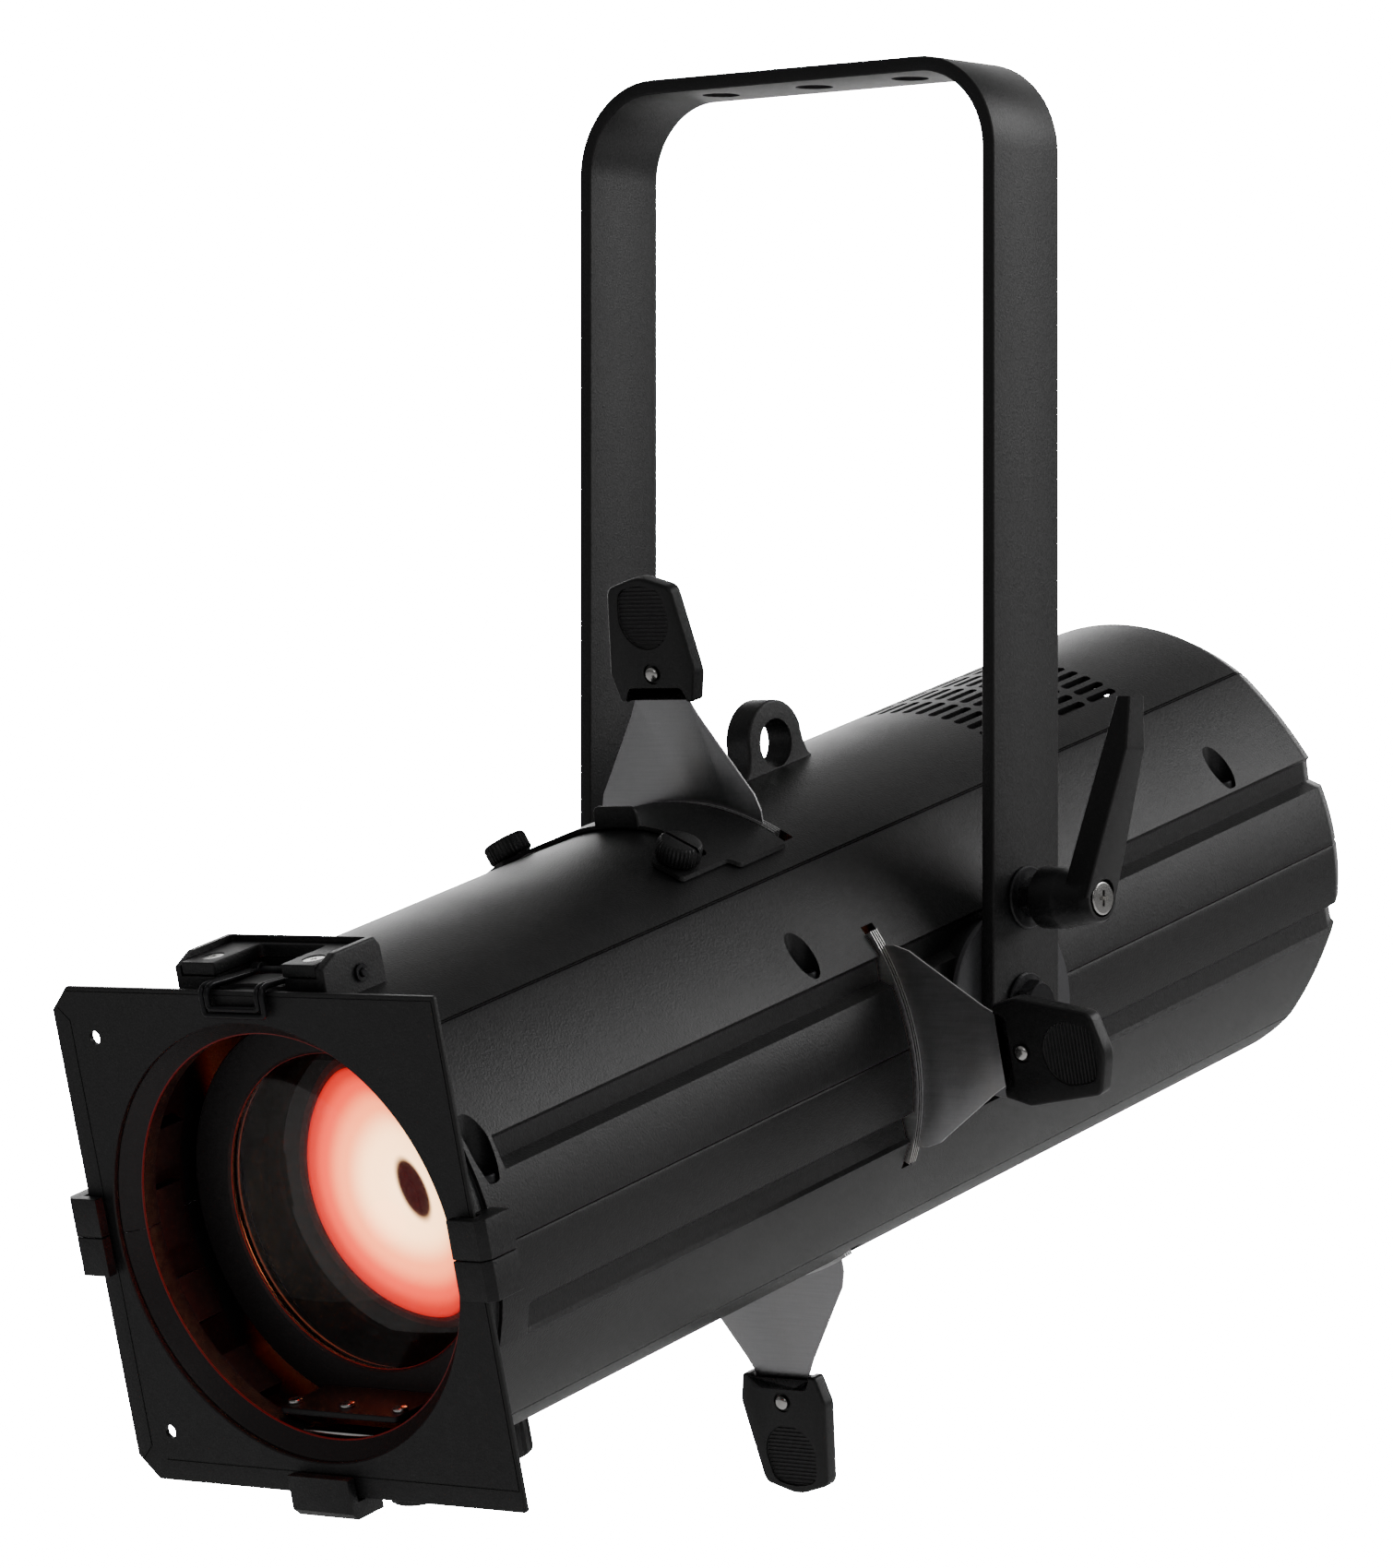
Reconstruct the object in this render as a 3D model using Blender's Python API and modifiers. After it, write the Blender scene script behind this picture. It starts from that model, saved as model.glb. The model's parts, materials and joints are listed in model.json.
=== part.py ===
"""Ellipsoidal (profile) spotlight on a flat-bar hanging yoke, as an assembly of separate parts.

World frame: the origin is the centre of the yoke's top face, +Z is up and -Y is where the beam leaves.
The lamp barrel has a frame of its own, an empty on the tilt axis: x to the right seen from the front,
b towards the back and u up, written (x, b, u). At rest that empty is turned 15 degrees nose down.
Sizes are in millimetres and the helpers turn them into metres.
"""

import math

import bmesh
import bpy
from mathutils import Matrix, Vector

MM = 0.001
TURN = 2 * math.pi

# Yoke
PIVOT_Z = -366.0
REST_TILT = math.radians(15.0)
YOKE_WIDTH = 210.0
YOKE_DEPTH = 41.5
YOKE_BAR = 5.8
YOKE_CORNER = 37.0
YOKE_HOLE_PITCH = 48.0
YOKE_HOLE_R = 7.5
YOKE_INNER = YOKE_WIDTH / 2 - YOKE_BAR
YOKE_OUTER = YOKE_WIDTH / 2
LOCK_RISE = 41.0
FIT = 0.3

# Housing
BODY_R = 95.5
RING_R = 94.0
SEAM_GAP = 0.15
FRONT_B = -312.4
REAR_B = 238.4
CHAMFER_B = 229.0
CHANNEL_LOW = 24.7
CHANNEL_HIGH = 37.0
CHANNEL_FLOOR_X = 86.3
PANEL_TOP = (61.6, 73.0)
INNER_SIDE_R = 83.5
INNER_TOP_R = 92.5
DISC_R = 36.5
DISC_FACES = (96.3, 98.8)
PAD_R = 33.0
PIVOT_BOLT_R = 6.0

# Front frame and its holder
FRAME_SIZE = 190.5
FRAME_FACES = (-314.9, -312.9)
FRAME_APERTURE_R = 83.0
FRAME_HOLE = (76.0, 2.6)
FRAME_CORNER = 9.0
CLIP_HALF = 15.0
BAIL_PIN = (-287.6, 95.1)
BAIL_PIN_R = 1.6
BAIL_HALF = 14.5
BAIL_WIRE_R = 1.3

# Gate and shutters
SLICE_B = {"top": -59.6, "right": -58.4, "left": -60.8, "bottom": -57.2}
BLADE_THICKNESS = 0.8
SLOT_B = (-62.5, -55.5)
SLOT_HALF = 48.0
GATE_R = 38.0
BLADE_EDGE = 41.0
RIVET_AT = 148.0
HANDLE_HALF = 3.35

# Lenses: seat position along the barrel, glass radius, clear radius, knob position
FRONT_LENS = {"b": -273.5, "radius": 62.0, "clear": 60.4, "knob": -268.0, "travel": 15.0}
REAR_LENS = {"b": -228.0, "radius": 54.0, "clear": 52.0, "knob": -222.0, "travel": 90.0}
HOLDER_R = 76.0
KNOB_R = 12.0
KNOB_STUD_R = 3.0
KNOB_U = (-113.0, -98.3)

# Gobo slot cover
COVER_R = (96.2, 97.7)
COVER_SCREW = (25.0, -114.0)
COVER_SCREW_R = 2.5

# Vents over the heat sink
VENT_ROWS = 16
VENT_PITCH = 3.87
VENT_STARTS = (80.5, 102.1, 123.7, 145.3)
VENT_LENGTH = 18.2
VENT_WIDTH = 3.6

# Back
PANEL_B = (225.0, 228.0)

for old in list(bpy.data.objects):
    bpy.data.objects.remove(old, do_unlink=True)

parts = bpy.data.collections.new("ellipsoidal_spotlight")
tools = bpy.data.collections.new("cutters")
bpy.context.scene.collection.children.link(parts)
bpy.context.scene.collection.children.link(tools)


# ---------------------------------------------------------------- materials

def material(name, colour, roughness, metallic=0.0, transmission=0.0):
    made = bpy.data.materials.new(name)
    made.use_nodes = True
    shader = made.node_tree.nodes["Principled BSDF"]
    shader.inputs["Base Color"].default_value = (*colour, 1.0)
    shader.inputs["Roughness"].default_value = roughness
    shader.inputs["Metallic"].default_value = metallic
    shader.inputs["Transmission Weight"].default_value = transmission
    return made


BLACK = material("black_powder_coat", (0.022, 0.022, 0.024), 0.52)
CASTING = material("grey_black_casting", (0.045, 0.045, 0.048), 0.48)
PLASTIC = material("black_plastic", (0.018, 0.018, 0.018), 0.42)
STEEL = material("stainless_steel", (0.55, 0.55, 0.56), 0.3, metallic=1.0)
NICKEL = material("nickel_plate", (0.72, 0.71, 0.69), 0.22, metallic=1.0)
DARK_STEEL = material("blackened_steel", (0.06, 0.06, 0.065), 0.38, metallic=0.8)
ALUMINIUM = material("plain_aluminium", (0.7, 0.7, 0.72), 0.35, metallic=1.0)
GLASS = material("lens_glass", (0.95, 0.97, 0.98), 0.02, transmission=1.0)
SCREEN = material("display_screen", (0.02, 0.03, 0.05), 0.15)
BOARD = material("led_board", (0.75, 0.75, 0.7), 0.5)


# ---------------------------------------------------------------- frames

def empty(name, place, parent=None, tilt=0.0):
    made = bpy.data.objects.new(name, None)
    parts.objects.link(made)
    made.parent = parent
    made.location = Vector(place) * MM
    made.rotation_euler = (tilt, 0.0, 0.0)
    return made


barrel = empty("barrel_pivot", (0.0, 0.0, PIVOT_Z), tilt=REST_TILT)


# ---------------------------------------------------------------- helpers

def add(name, mesh, parent, paint=None):
    """Puts a mesh in the scene: a part when it has a material, a hidden cutter when it has none."""
    made = bpy.data.objects.new(name, mesh)
    (parts if paint else tools).objects.link(made)
    made.parent = parent
    if paint:
        mesh.materials.append(paint)
    else:
        made.hide_render = True
        made.display_type = "WIRE"
    return made


def along(direction):
    """Rotation that takes +Z to the direction."""
    return Vector(direction).to_track_quat("Z", "Y").to_matrix().to_4x4()


def block(name, low, high, parent, paint=None):
    """Box between two corners."""
    bm = bmesh.new()
    bmesh.ops.create_cube(bm, size=1.0)
    size = [(h - l) * MM for l, h in zip(low, high)]
    middle = [(h + l) / 2 * MM for l, h in zip(low, high)]
    bmesh.ops.scale(bm, vec=size, verts=bm.verts)
    bmesh.ops.translate(bm, vec=middle, verts=bm.verts)
    mesh = bpy.data.meshes.new(name)
    bm.to_mesh(mesh)
    bm.free()
    return add(name, mesh, parent, paint)


def rod(name, start, end, radius, parent, paint=None, sides=24):
    """Round bar between two points."""
    start, end = Vector(start) * MM, Vector(end) * MM
    bm = bmesh.new()
    bmesh.ops.create_cone(bm, cap_ends=True, segments=sides, radius1=radius * MM, radius2=radius * MM,
                          depth=(end - start).length)
    placed = Matrix.Translation((start + end) / 2) @ along(end - start)
    bmesh.ops.transform(bm, matrix=placed, verts=bm.verts)
    mesh = bpy.data.meshes.new(name)
    bm.to_mesh(mesh)
    bm.free()
    mesh.shade_smooth()
    mesh.set_sharp_from_angle(angle=math.radians(40))
    return add(name, mesh, parent, paint)


def turned(name, profile, centre, direction, parent, paint=None, sides=32):
    """Closed (radius, height) profile, running down its outer side, swept round a direction by a Screw."""
    mesh = bpy.data.meshes.new(name)
    points = [(r * MM, 0.0, h * MM) for r, h in profile]
    edges = [(i, (i + 1) % len(points)) for i in range(len(points))]
    open_on_axis = profile[0][0] == 0.0 and profile[-1][0] == 0.0
    mesh.from_pydata(points, edges[:-1] if open_on_axis else edges, [])
    made = add(name, mesh, parent, paint)
    made.matrix_basis = Matrix.Translation(Vector(centre) * MM) @ along(direction)
    screw = made.modifiers.new("turn", "SCREW")
    screw.steps = sides
    screw.render_steps = sides
    screw.use_merge_vertices = True
    screw.merge_threshold = 0.00001
    return made


PLANES = {
    "XY": Matrix.Identity(4),
    "XZ": Matrix(((1, 0, 0, 0), (0, 0, -1, 0), (0, 1, 0, 0), (0, 0, 0, 1))),
    "YZ": Matrix(((0, 0, 1, 0), (1, 0, 0, 0), (0, 1, 0, 0), (0, 0, 0, 1))),
}


def plate(name, outlines, plane, low, high, parent, paint=None):
    """Flat outline with its holes, from low to high along the plane's normal axis."""
    curve = bpy.data.curves.new(name, "CURVE")
    curve.dimensions = "2D"
    curve.fill_mode = "BOTH"
    curve.extrude = (high - low) / 2 * MM
    for outline in outlines:
        spline = curve.splines.new("POLY")
        spline.points.add(len(outline) - 1)
        for point, (p, q) in zip(spline.points, outline):
            point.co = (p * MM, q * MM, 0.0, 1.0)
        spline.use_cyclic_u = True
    flat = bpy.data.objects.new(name + "_outline", curve)
    tools.objects.link(flat)
    evaluated = flat.evaluated_get(bpy.context.evaluated_depsgraph_get())
    mesh = bpy.data.meshes.new_from_object(evaluated)
    bpy.data.objects.remove(flat, do_unlink=True)
    bm = bmesh.new()
    bm.from_mesh(mesh)
    bmesh.ops.remove_doubles(bm, verts=bm.verts, dist=0.000001)
    middle = (low + high) / 2 * MM * (-1 if plane == "XZ" else 1)
    bmesh.ops.transform(bm, matrix=PLANES[plane] @ Matrix.Translation((0, 0, middle)), verts=bm.verts)
    bmesh.ops.recalc_face_normals(bm, faces=bm.faces)
    bm.to_mesh(mesh)
    bm.free()
    mesh.name = name
    return add(name, mesh, parent, paint)


def circle(radius, centre=(0.0, 0.0), sides=32, start=0.0, sweep=TURN):
    """Points of a circle, or of an arc of it that includes both ends."""
    count = sides if sweep == TURN else sides + 1
    return [(centre[0] + radius * math.cos(start + sweep * i / sides),
             centre[1] + radius * math.sin(start + sweep * i / sides)) for i in range(count)]


def rounded(corners, radii, steps=5):
    """Outline with its corners turned into arcs; a radius of 0 keeps the corner."""
    out = []
    for i, corner in enumerate(corners):
        here = Vector(corner)
        before = (Vector(corners[i - 1]) - here).normalized()
        after = (Vector(corners[(i + 1) % len(corners)]) - here).normalized()
        radius = radii[i] if isinstance(radii, (list, tuple)) else radii
        if radius == 0:
            out.append(corner)
            continue
        half = before.angle(after) / 2
        middle = here + (before + after).normalized() * radius / math.sin(half)
        first = here + before * radius / math.tan(half) - middle
        last = here + after * radius / math.tan(half) - middle
        swing = first.angle_signed(last)
        for k in range(steps + 1):
            point = first.copy()
            point.rotate(Matrix.Rotation(-swing * k / steps, 2))
            out.append(tuple(middle + point))
    return out


def wire(name, points, radius, parent, paint=None, closed=False, sides=2):
    """Round wire along a list of points, made a mesh with its caps welded."""
    curve = bpy.data.curves.new(name, "CURVE")
    curve.dimensions = "3D"
    curve.bevel_depth = radius * MM
    curve.bevel_resolution = sides
    curve.use_fill_caps = not closed
    spline = curve.splines.new("POLY")
    spline.points.add(len(points) - 1)
    for point, place in zip(spline.points, points):
        point.co = (*(c * MM for c in place), 1.0)
    spline.use_cyclic_u = closed
    bent = bpy.data.objects.new(name + "_path", curve)
    tools.objects.link(bent)
    evaluated = bent.evaluated_get(bpy.context.evaluated_depsgraph_get())
    mesh = bpy.data.meshes.new_from_object(evaluated)
    bpy.data.objects.remove(bent, do_unlink=True)
    bm = bmesh.new()
    bm.from_mesh(mesh)
    bmesh.ops.remove_doubles(bm, verts=bm.verts, dist=0.000001)
    bmesh.ops.recalc_face_normals(bm, faces=bm.faces)
    bm.to_mesh(mesh)
    bm.free()
    mesh.name = name
    return add(name, mesh, parent, paint)


def combine(target, others, how):
    for number, other in enumerate(others):
        step = target.modifiers.new(f"{how.lower()}_{number}", "BOOLEAN")
        step.operation = how
        step.object = other
    return target


def cut(target, *others):
    return combine(target, others, "DIFFERENCE")


def join(target, *others):
    return combine(target, others, "UNION")


def keep_inside(target, *others):
    return combine(target, others, "INTERSECT")


def mirrored(outline, axis=0):
    """The outline with one coordinate negated, run backwards so that it keeps its turning sense."""
    flipped = [(-p, q) if axis == 0 else (p, -q) for p, q in outline]
    return flipped[::-1]


def ring(r_in, r_out, low, high):
    """Rectangular ring profile for turned()."""
    return [(r_out, high), (r_out, low), (r_in, low), (r_in, high)]


BACK = (0, 1, 0)
SIDES = {"right": 1, "left": -1}

# ---------------------------------------------------------------- yoke

def yoke():
    """Flat bar bent into a U, with three bolt holes on top and rounded arm ends at the pivot."""
    drop = PIVOT_Z - YOKE_DEPTH / 2
    outer = rounded([(-YOKE_OUTER, drop), (-YOKE_OUTER, 0), (YOKE_OUTER, 0), (YOKE_OUTER, drop)],
                    [0, YOKE_CORNER, YOKE_CORNER, 0], steps=6)
    inner_corner = YOKE_CORNER - YOKE_BAR
    inner = rounded([(YOKE_INNER, drop), (YOKE_INNER, -YOKE_BAR), (-YOKE_INNER, -YOKE_BAR),
                     (-YOKE_INNER, drop)], [0, inner_corner, inner_corner, 0], steps=6)
    strap = plate("yoke_strap", [outer + inner], "XZ", -YOKE_DEPTH / 2, YOKE_DEPTH / 2, None, CASTING)
    holes = [rod(f"cut_yoke_hole_{n}", (x, 0, -20), (x, 0, 20), YOKE_HOLE_R, None, sides=20)
             for n, x in enumerate((-YOKE_HOLE_PITCH, 0, YOKE_HOLE_PITCH))]
    pivot = rod("cut_yoke_pivot", (-130, 0, PIVOT_Z), (130, 0, PIVOT_Z), PIVOT_BOLT_R + FIT, None)
    lock_z = PIVOT_Z + LOCK_RISE
    lock = rod("cut_yoke_lock", (-130, 0, lock_z), (130, 0, lock_z), 3.0 + FIT, None)
    half = YOKE_DEPTH / 2
    below = PIVOT_Z - half - 5
    tail = circle(half, (0, PIVOT_Z), 20, math.pi, math.pi)
    trim = plate("cut_yoke_ends", [[(-half - 5, PIVOT_Z), *tail, (half + 5, PIVOT_Z), (half + 5, below),
                                    (-half - 5, below)]], "YZ", -130, 130, None)
    cut(strap, *holes, pivot, lock, trim)


def pivot_bolt(side):
    """Hex bolt with a flange outside the strap and a shank that ends in the barrel's boss."""
    s = SIDES[side]
    bolt = rod(f"pivot_bolt_{side}", (s * 106.4, 0, PIVOT_Z), (s * 112.6, 0, PIVOT_Z), 9.4, None, DARK_STEEL, 6)
    flange = rod(f"join_pivot_flange_{side}", (s * (YOKE_OUTER + FIT), 0, PIVOT_Z), (s * 106.9, 0, PIVOT_Z),
                 12.1, None)
    shank = rod(f"join_pivot_shank_{side}", (s * 82.0, 0, PIVOT_Z), (s * 108.0, 0, PIVOT_Z), PIVOT_BOLT_R, None)
    join(bolt, flange, shank)


def lock_bolt(side, head_x):
    """Stud of the tilt lock: it passes the strap and carries the shoe that bears on the disc's rim."""
    s = SIDES[side]
    z = PIVOT_Z + LOCK_RISE
    name = "lock_stud_right" if side == "right" else "lock_bolt_left"
    bolt = rod(name, (s * 106.2, 0, z), (s * head_x, 0, z), 7.6, None, DARK_STEEL, 6)
    flange = rod(f"join_lock_flange_{side}", (s * (YOKE_OUTER + FIT), 0, z), (s * 106.7, 0, z), 12.1, None)
    shank = rod(f"join_lock_shank_{side}", (s * 96.4, 0, z), (s * 108.0, 0, z), 3.0, None, sides=20)
    join(bolt, flange, shank)


def brake_shoe(side):
    """Curved shoe in the plane of the tilt disc, pressed down on its rim by the lock."""
    s = SIDES[side]
    low, high = sorted((s * 96.2, s * 98.9))
    rim = DISC_R + 0.5
    spread = math.radians(18)
    lower = circle(rim, (0, PIVOT_Z), 8, math.pi / 2 - spread, 2 * spread)
    outline = [*lower, (-11, PIVOT_Z + 48), (11, PIVOT_Z + 48)]
    hole = circle(3.0 + FIT, (0, PIVOT_Z + LOCK_RISE), 20)
    plate(f"brake_shoe_{side}", [outline, hole], "YZ", low, high, None, DARK_STEEL)


def lock_lever():
    """Moulded lever: a round hub, a cone and a square arm that narrows as it leans out to its tip."""
    axis = empty("lock_axis", (0, 0, PIVOT_Z + LOCK_RISE))
    tip, bend = 77.0, 56.0
    inner_face, outer_face = 128.5, 141.0
    inner_lean, outer_lean = 23.0, 16.0
    half = [(9.5, 0), (6.2, bend), (4.8, tip)]
    outline = half + [(-y, z) for y, z in half[::-1]]
    arm = plate("lock_lever", [outline], "YZ", inner_face, outer_face, axis, PLASTIC)
    for vertex in arm.data.vertices:
        rise = vertex.co.z / MM
        on_outside = vertex.co.x > (inner_face + outer_face) / 2 * MM
        lean = outer_lean * min(1.0, rise / bend) if on_outside else inner_lean * rise / tip
        vertex.co.x += lean * MM
    profile = [(0, 27.1), (7.2, 27.1), (9.8, 20.0), (12.0, 8.0), (12.0, 0.0), (0, 0.0)]
    hub = turned("join_lever_hub", profile, (113.9, 0, 0), (1, 0, 0), axis, sides=32)
    bore = rod("cut_lever_bore", (130.0, 0, 0), (150, 0, 0), 3.4, axis, sides=20)
    seat = rod("cut_lever_seat", (136.0, 0, 0), (150, 0, 0), 6.9, axis, sides=24)
    join(arm, hub)
    cut(arm, bore, seat)
    screw = rod("lever_screw", (136.3, 0, 0), (142.0, 0, 0), 6.5, axis, NICKEL, 24)
    shank = rod("join_lever_screw_shank", (130.5, 0, 0), (138.0, 0, 0), 3.0, axis, sides=20)
    slots = [block(f"cut_lever_cross_{n}", low, high, axis) for n, (low, high) in enumerate((
        ((140.8, -4.0, -0.6), (143.0, 4.0, 0.6)), ((140.8, -0.6, -4.0), (143.0, 0.6, 4.0))))]
    join(screw, shank)
    cut(screw, *slots)


yoke()
for which in SIDES:
    pivot_bolt(which)
    brake_shoe(which)
lock_bolt("right", 113.6)
lock_bolt("left", 112.6)
lock_lever()


# ---------------------------------------------------------------- housing

def skin(channel, scale=1.0, radius=BODY_R):
    """Outer cross-section of the upper half, (x, u) from the right seam over the top to the left seam."""
    low = math.asin(CHANNEL_LOW / BODY_R)
    high = math.asin(CHANNEL_HIGH / BODY_R)
    top = math.atan2(PANEL_TOP[1], PANEL_TOP[0])
    seam = math.asin(SEAM_GAP / BODY_R)
    right = [(radius * math.cos(a), radius * math.sin(a)) for a in (seam, low * 0.35, low * 0.7, low)]
    floor = (CHANNEL_FLOOR_X, CHANNEL_LOW + 2.4)
    middle = (low + (high - low) * 0.25)
    right.append(floor if channel else (radius * math.cos(middle), radius * math.sin(middle)))
    start = Vector((radius * math.cos(high), radius * math.sin(high)))
    end = Vector((radius * math.cos(top), radius * math.sin(top)))
    bulge = (start + end).normalized() * 1.4
    for k in range(5):
        t = k / 4
        right.append(tuple(start.lerp(end, t) + bulge * 4 * t * (1 - t)))
    for k in range(1, 9):
        angle = top + (math.pi / 2 - top) * k / 8
        right.append((radius * math.cos(angle), radius * math.sin(angle)))
    left = [(-x, u) for x, u in right[-2::-1]]
    return [(x * scale, max(u * scale, SEAM_GAP)) for x, u in right + left]


def bore(radius=None, scale=1.0):
    """Inner cross-section matching skin() point for point: a circle, or the thick-sided hollow."""
    out = []
    for x, u in skin(False):
        angle = math.atan2(u, x)
        lift = min(1.0, max(0.0, (u - CHANNEL_HIGH - 2.0) / 22.0))
        r = radius or INNER_SIDE_R + (INNER_TOP_R - INNER_SIDE_R - 3.2 * (1 - lift)) * lift
        out.append((r * math.cos(angle) * scale, max(r * math.sin(angle) * scale, SEAM_GAP)))
    return out


def housing_half(name, up):
    """One half of the split casting, lofted along the barrel: front ring, body and chamfered back rim."""
    stations = [
        (FRONT_B, skin(False, radius=RING_R), bore(83.0)),
        (-306.2, skin(False, radius=RING_R), bore(77.2)),
        (-306.0, skin(False), bore(77.0)),
        (-299.0, skin(False), bore(77.0)),
        (-298.8, skin(False), bore()),
        (-290.4, skin(False), bore()),
        (-290.0, skin(True), bore()),
        (CHAMFER_B, skin(True), bore()),
        (REAR_B, skin(True, 0.95), bore(scale=0.95)),
    ]
    count = len(stations[0][1])
    points = []
    for b, outside, inside in stations:
        points += [(x * MM, b * MM, u * up * MM) for x, u in outside]
        points += [(x * MM, b * MM, u * up * MM) for x, u in inside]
    faces = []
    rows = len(stations)
    for j in range(rows):
        here, there = j * 2 * count, (j + 1) * 2 * count
        here_in, there_in = here + count, there + count
        for i in range(count - 1):
            if j < rows - 1:
                faces.append((here + i, here + i + 1, there + i + 1, there + i))
                faces.append((here_in + i, there_in + i, there_in + i + 1, here_in + i + 1))
            if j in (0, rows - 1):
                faces.append((here + i, here_in + i, here_in + i + 1, here + i + 1))
        if j < rows - 1:
            for i in (0, count - 1):
                faces.append((here + i, there + i, there_in + i, here_in + i))
    mesh = bpy.data.meshes.new(name)
    mesh.from_pydata(points, [], faces)
    bm = bmesh.new()
    bm.from_mesh(mesh)
    bmesh.ops.recalc_face_normals(bm, faces=bm.faces)
    bm.to_mesh(mesh)
    bm.free()
    mesh.shade_smooth()
    mesh.set_sharp_from_angle(angle=math.radians(25))
    return add(name, mesh, barrel, CASTING)


def clip_tools(word, up):
    """The halves of the two side clips that belong to one half of the housing."""
    hook = [(90.0, -303.3), (103.0, -303.3), (103.0, -320.0), (87.0, -320.0), (87.0, -315.9),
            (96.3, -315.9), (96.3, -312.1), (90.0, -312.1)]
    low, high = sorted((SEAM_GAP * up, CLIP_HALF * up))
    return [plate(f"join_clip_right_{word}", [hook], "XY", low, high, barrel),
            plate(f"join_clip_left_{word}", [mirrored(hook)], "XY", low, high, barrel)]


def pad_tools(word, up):
    """Half-round pads that carry the tilt discs."""
    out = []
    for side, s in SIDES.items():
        start = 0.0 if up > 0 else math.pi
        arc = circle(PAD_R, (0, SEAM_GAP * up), 18, start, math.pi)
        low, high = sorted((s * 84.5, s * 95.9))
        out.append(plate(f"join_pad_{side}_{word}", [arc], "YZ", low, high, barrel))
    return out


def shared_cuts(word):
    """Pivot bores and the side shutter slots, which run on from one half of the casting into the other."""
    low, high = SLOT_B
    return [rod(f"cut_pivot_{word}", (-130, 0, 0), (-80, 0, 0), PIVOT_BOLT_R + FIT, barrel, sides=24),
            rod(f"cut_pivot_{word}_2", (80, 0, 0), (130, 0, 0), PIVOT_BOLT_R + FIT, barrel, sides=24),
            block(f"cut_side_slots_{word}", (-120, low, -SLOT_HALF), (120, high, SLOT_HALF), barrel)]


def upper_housing():
    shell = housing_half("upper_housing", 1)
    join(shell, *clip_tools("upper", 1), *pad_tools("upper", 1))
    gobo = block("cut_gobo_slot", (-36, -82, 60), (36, -70, 120), barrel)
    slot = block("cut_top_slot", (-50, SLOT_B[0], 60), (50, SLOT_B[1], 120), barrel)
    screws = [rod(f"cut_cover_screw_{side}", cover_point(s, 60), cover_point(s, 120), COVER_SCREW_R + FIT,
                  barrel, sides=16)
              for side, s in SIDES.items()]
    window = block("cut_bail_window", (-21.5, -293.0, 70), (21.5, -282.5, 120), barrel)
    cut(shell, *shared_cuts("upper"), gobo, slot, window, *screws, plate_of_vents())


def cover_point(side, radius):
    """Point on a gobo cover thumbscrew's axis at a distance from the barrel's axis."""
    angle = math.radians(COVER_SCREW[0]) * side
    return (radius * math.sin(angle), COVER_SCREW[1], radius * math.cos(angle))


def plate_of_vents():
    """One cutter with a block for each vent slot, standing across the wall at its own angle."""
    bm = bmesh.new()
    for row in range(VENT_ROWS):
        angle = math.radians((row - (VENT_ROWS - 1) / 2) * VENT_PITCH)
        turn = Matrix.Rotation(angle, 4, "Y")
        for start in VENT_STARTS:
            made = bmesh.ops.create_cube(bm, size=1.0)
            bmesh.ops.scale(bm, vec=(VENT_WIDTH * MM, VENT_LENGTH * MM, 24 * MM), verts=made["verts"])
            bmesh.ops.translate(bm, vec=(0, (start + VENT_LENGTH / 2) * MM, 94 * MM), verts=made["verts"])
            bmesh.ops.transform(bm, matrix=turn, verts=made["verts"])
    mesh = bpy.data.meshes.new("cut_vents")
    bm.to_mesh(mesh)
    bm.free()
    return add("cut_vents", mesh, barrel)


def lower_housing():
    shell = housing_half("lower_housing", -1)
    hook = [(-303.3, -90), (-303.3, -103), (-320, -103), (-320, -91), (-315.9, -91), (-315.9, -96.2),
            (-312.1, -96.2), (-312.1, -90)]
    clip = plate("join_clip_bottom", [hook], "YZ", -CLIP_HALF, CLIP_HALF, barrel)
    join(shell, *clip_tools("lower", -1), *pad_tools("lower", -1), clip)
    slot = block("cut_bottom_slot", (-50, SLOT_B[0], -120), (50, SLOT_B[1], -60), barrel)
    tracks = []
    for word, lens in (("front", FRONT_LENS), ("rear", REAR_LENS)):
        tracks.append(block(f"cut_track_{word}", (-3.6, lens["knob"] - 4, -110),
                            (3.6, lens["knob"] + lens["travel"] + 4, -70), barrel))
    cut(shell, *shared_cuts("lower"), slot, *tracks)


def tilt_disc(side):
    """Round friction disc between the barrel's pad and the yoke arm."""
    s = SIDES[side]
    low, high = sorted((s * DISC_FACES[0], s * DISC_FACES[1]))
    outlines = [circle(DISC_R, sides=40), circle(PIVOT_BOLT_R + FIT, sides=16)]
    plate(f"tilt_disc_{side}", outlines, "YZ", low, high, barrel, ALUMINIUM)


def safety_eye():
    """Cast lug for the safety cable, standing on the top of the barrel."""
    centre = (-4.0, 105.4)
    outline = [(-24, 94.2), (16, 94.2), *circle(17.0, centre, 12, math.radians(12), math.radians(156))]
    lug = plate("safety_eye", [outline, circle(9.6, centre, 24)], "YZ", -6.0, 6.0, barrel, CASTING)
    bed = rod("cut_eye_bed", (0, -60, 0), (0, 60, 0), BODY_R + 0.35, barrel, sides=96)
    cut(lug, bed)


upper_housing()
lower_housing()
for which in SIDES:
    tilt_disc(which)
safety_eye()


# ---------------------------------------------------------------- front frame, holder and bail

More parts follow.
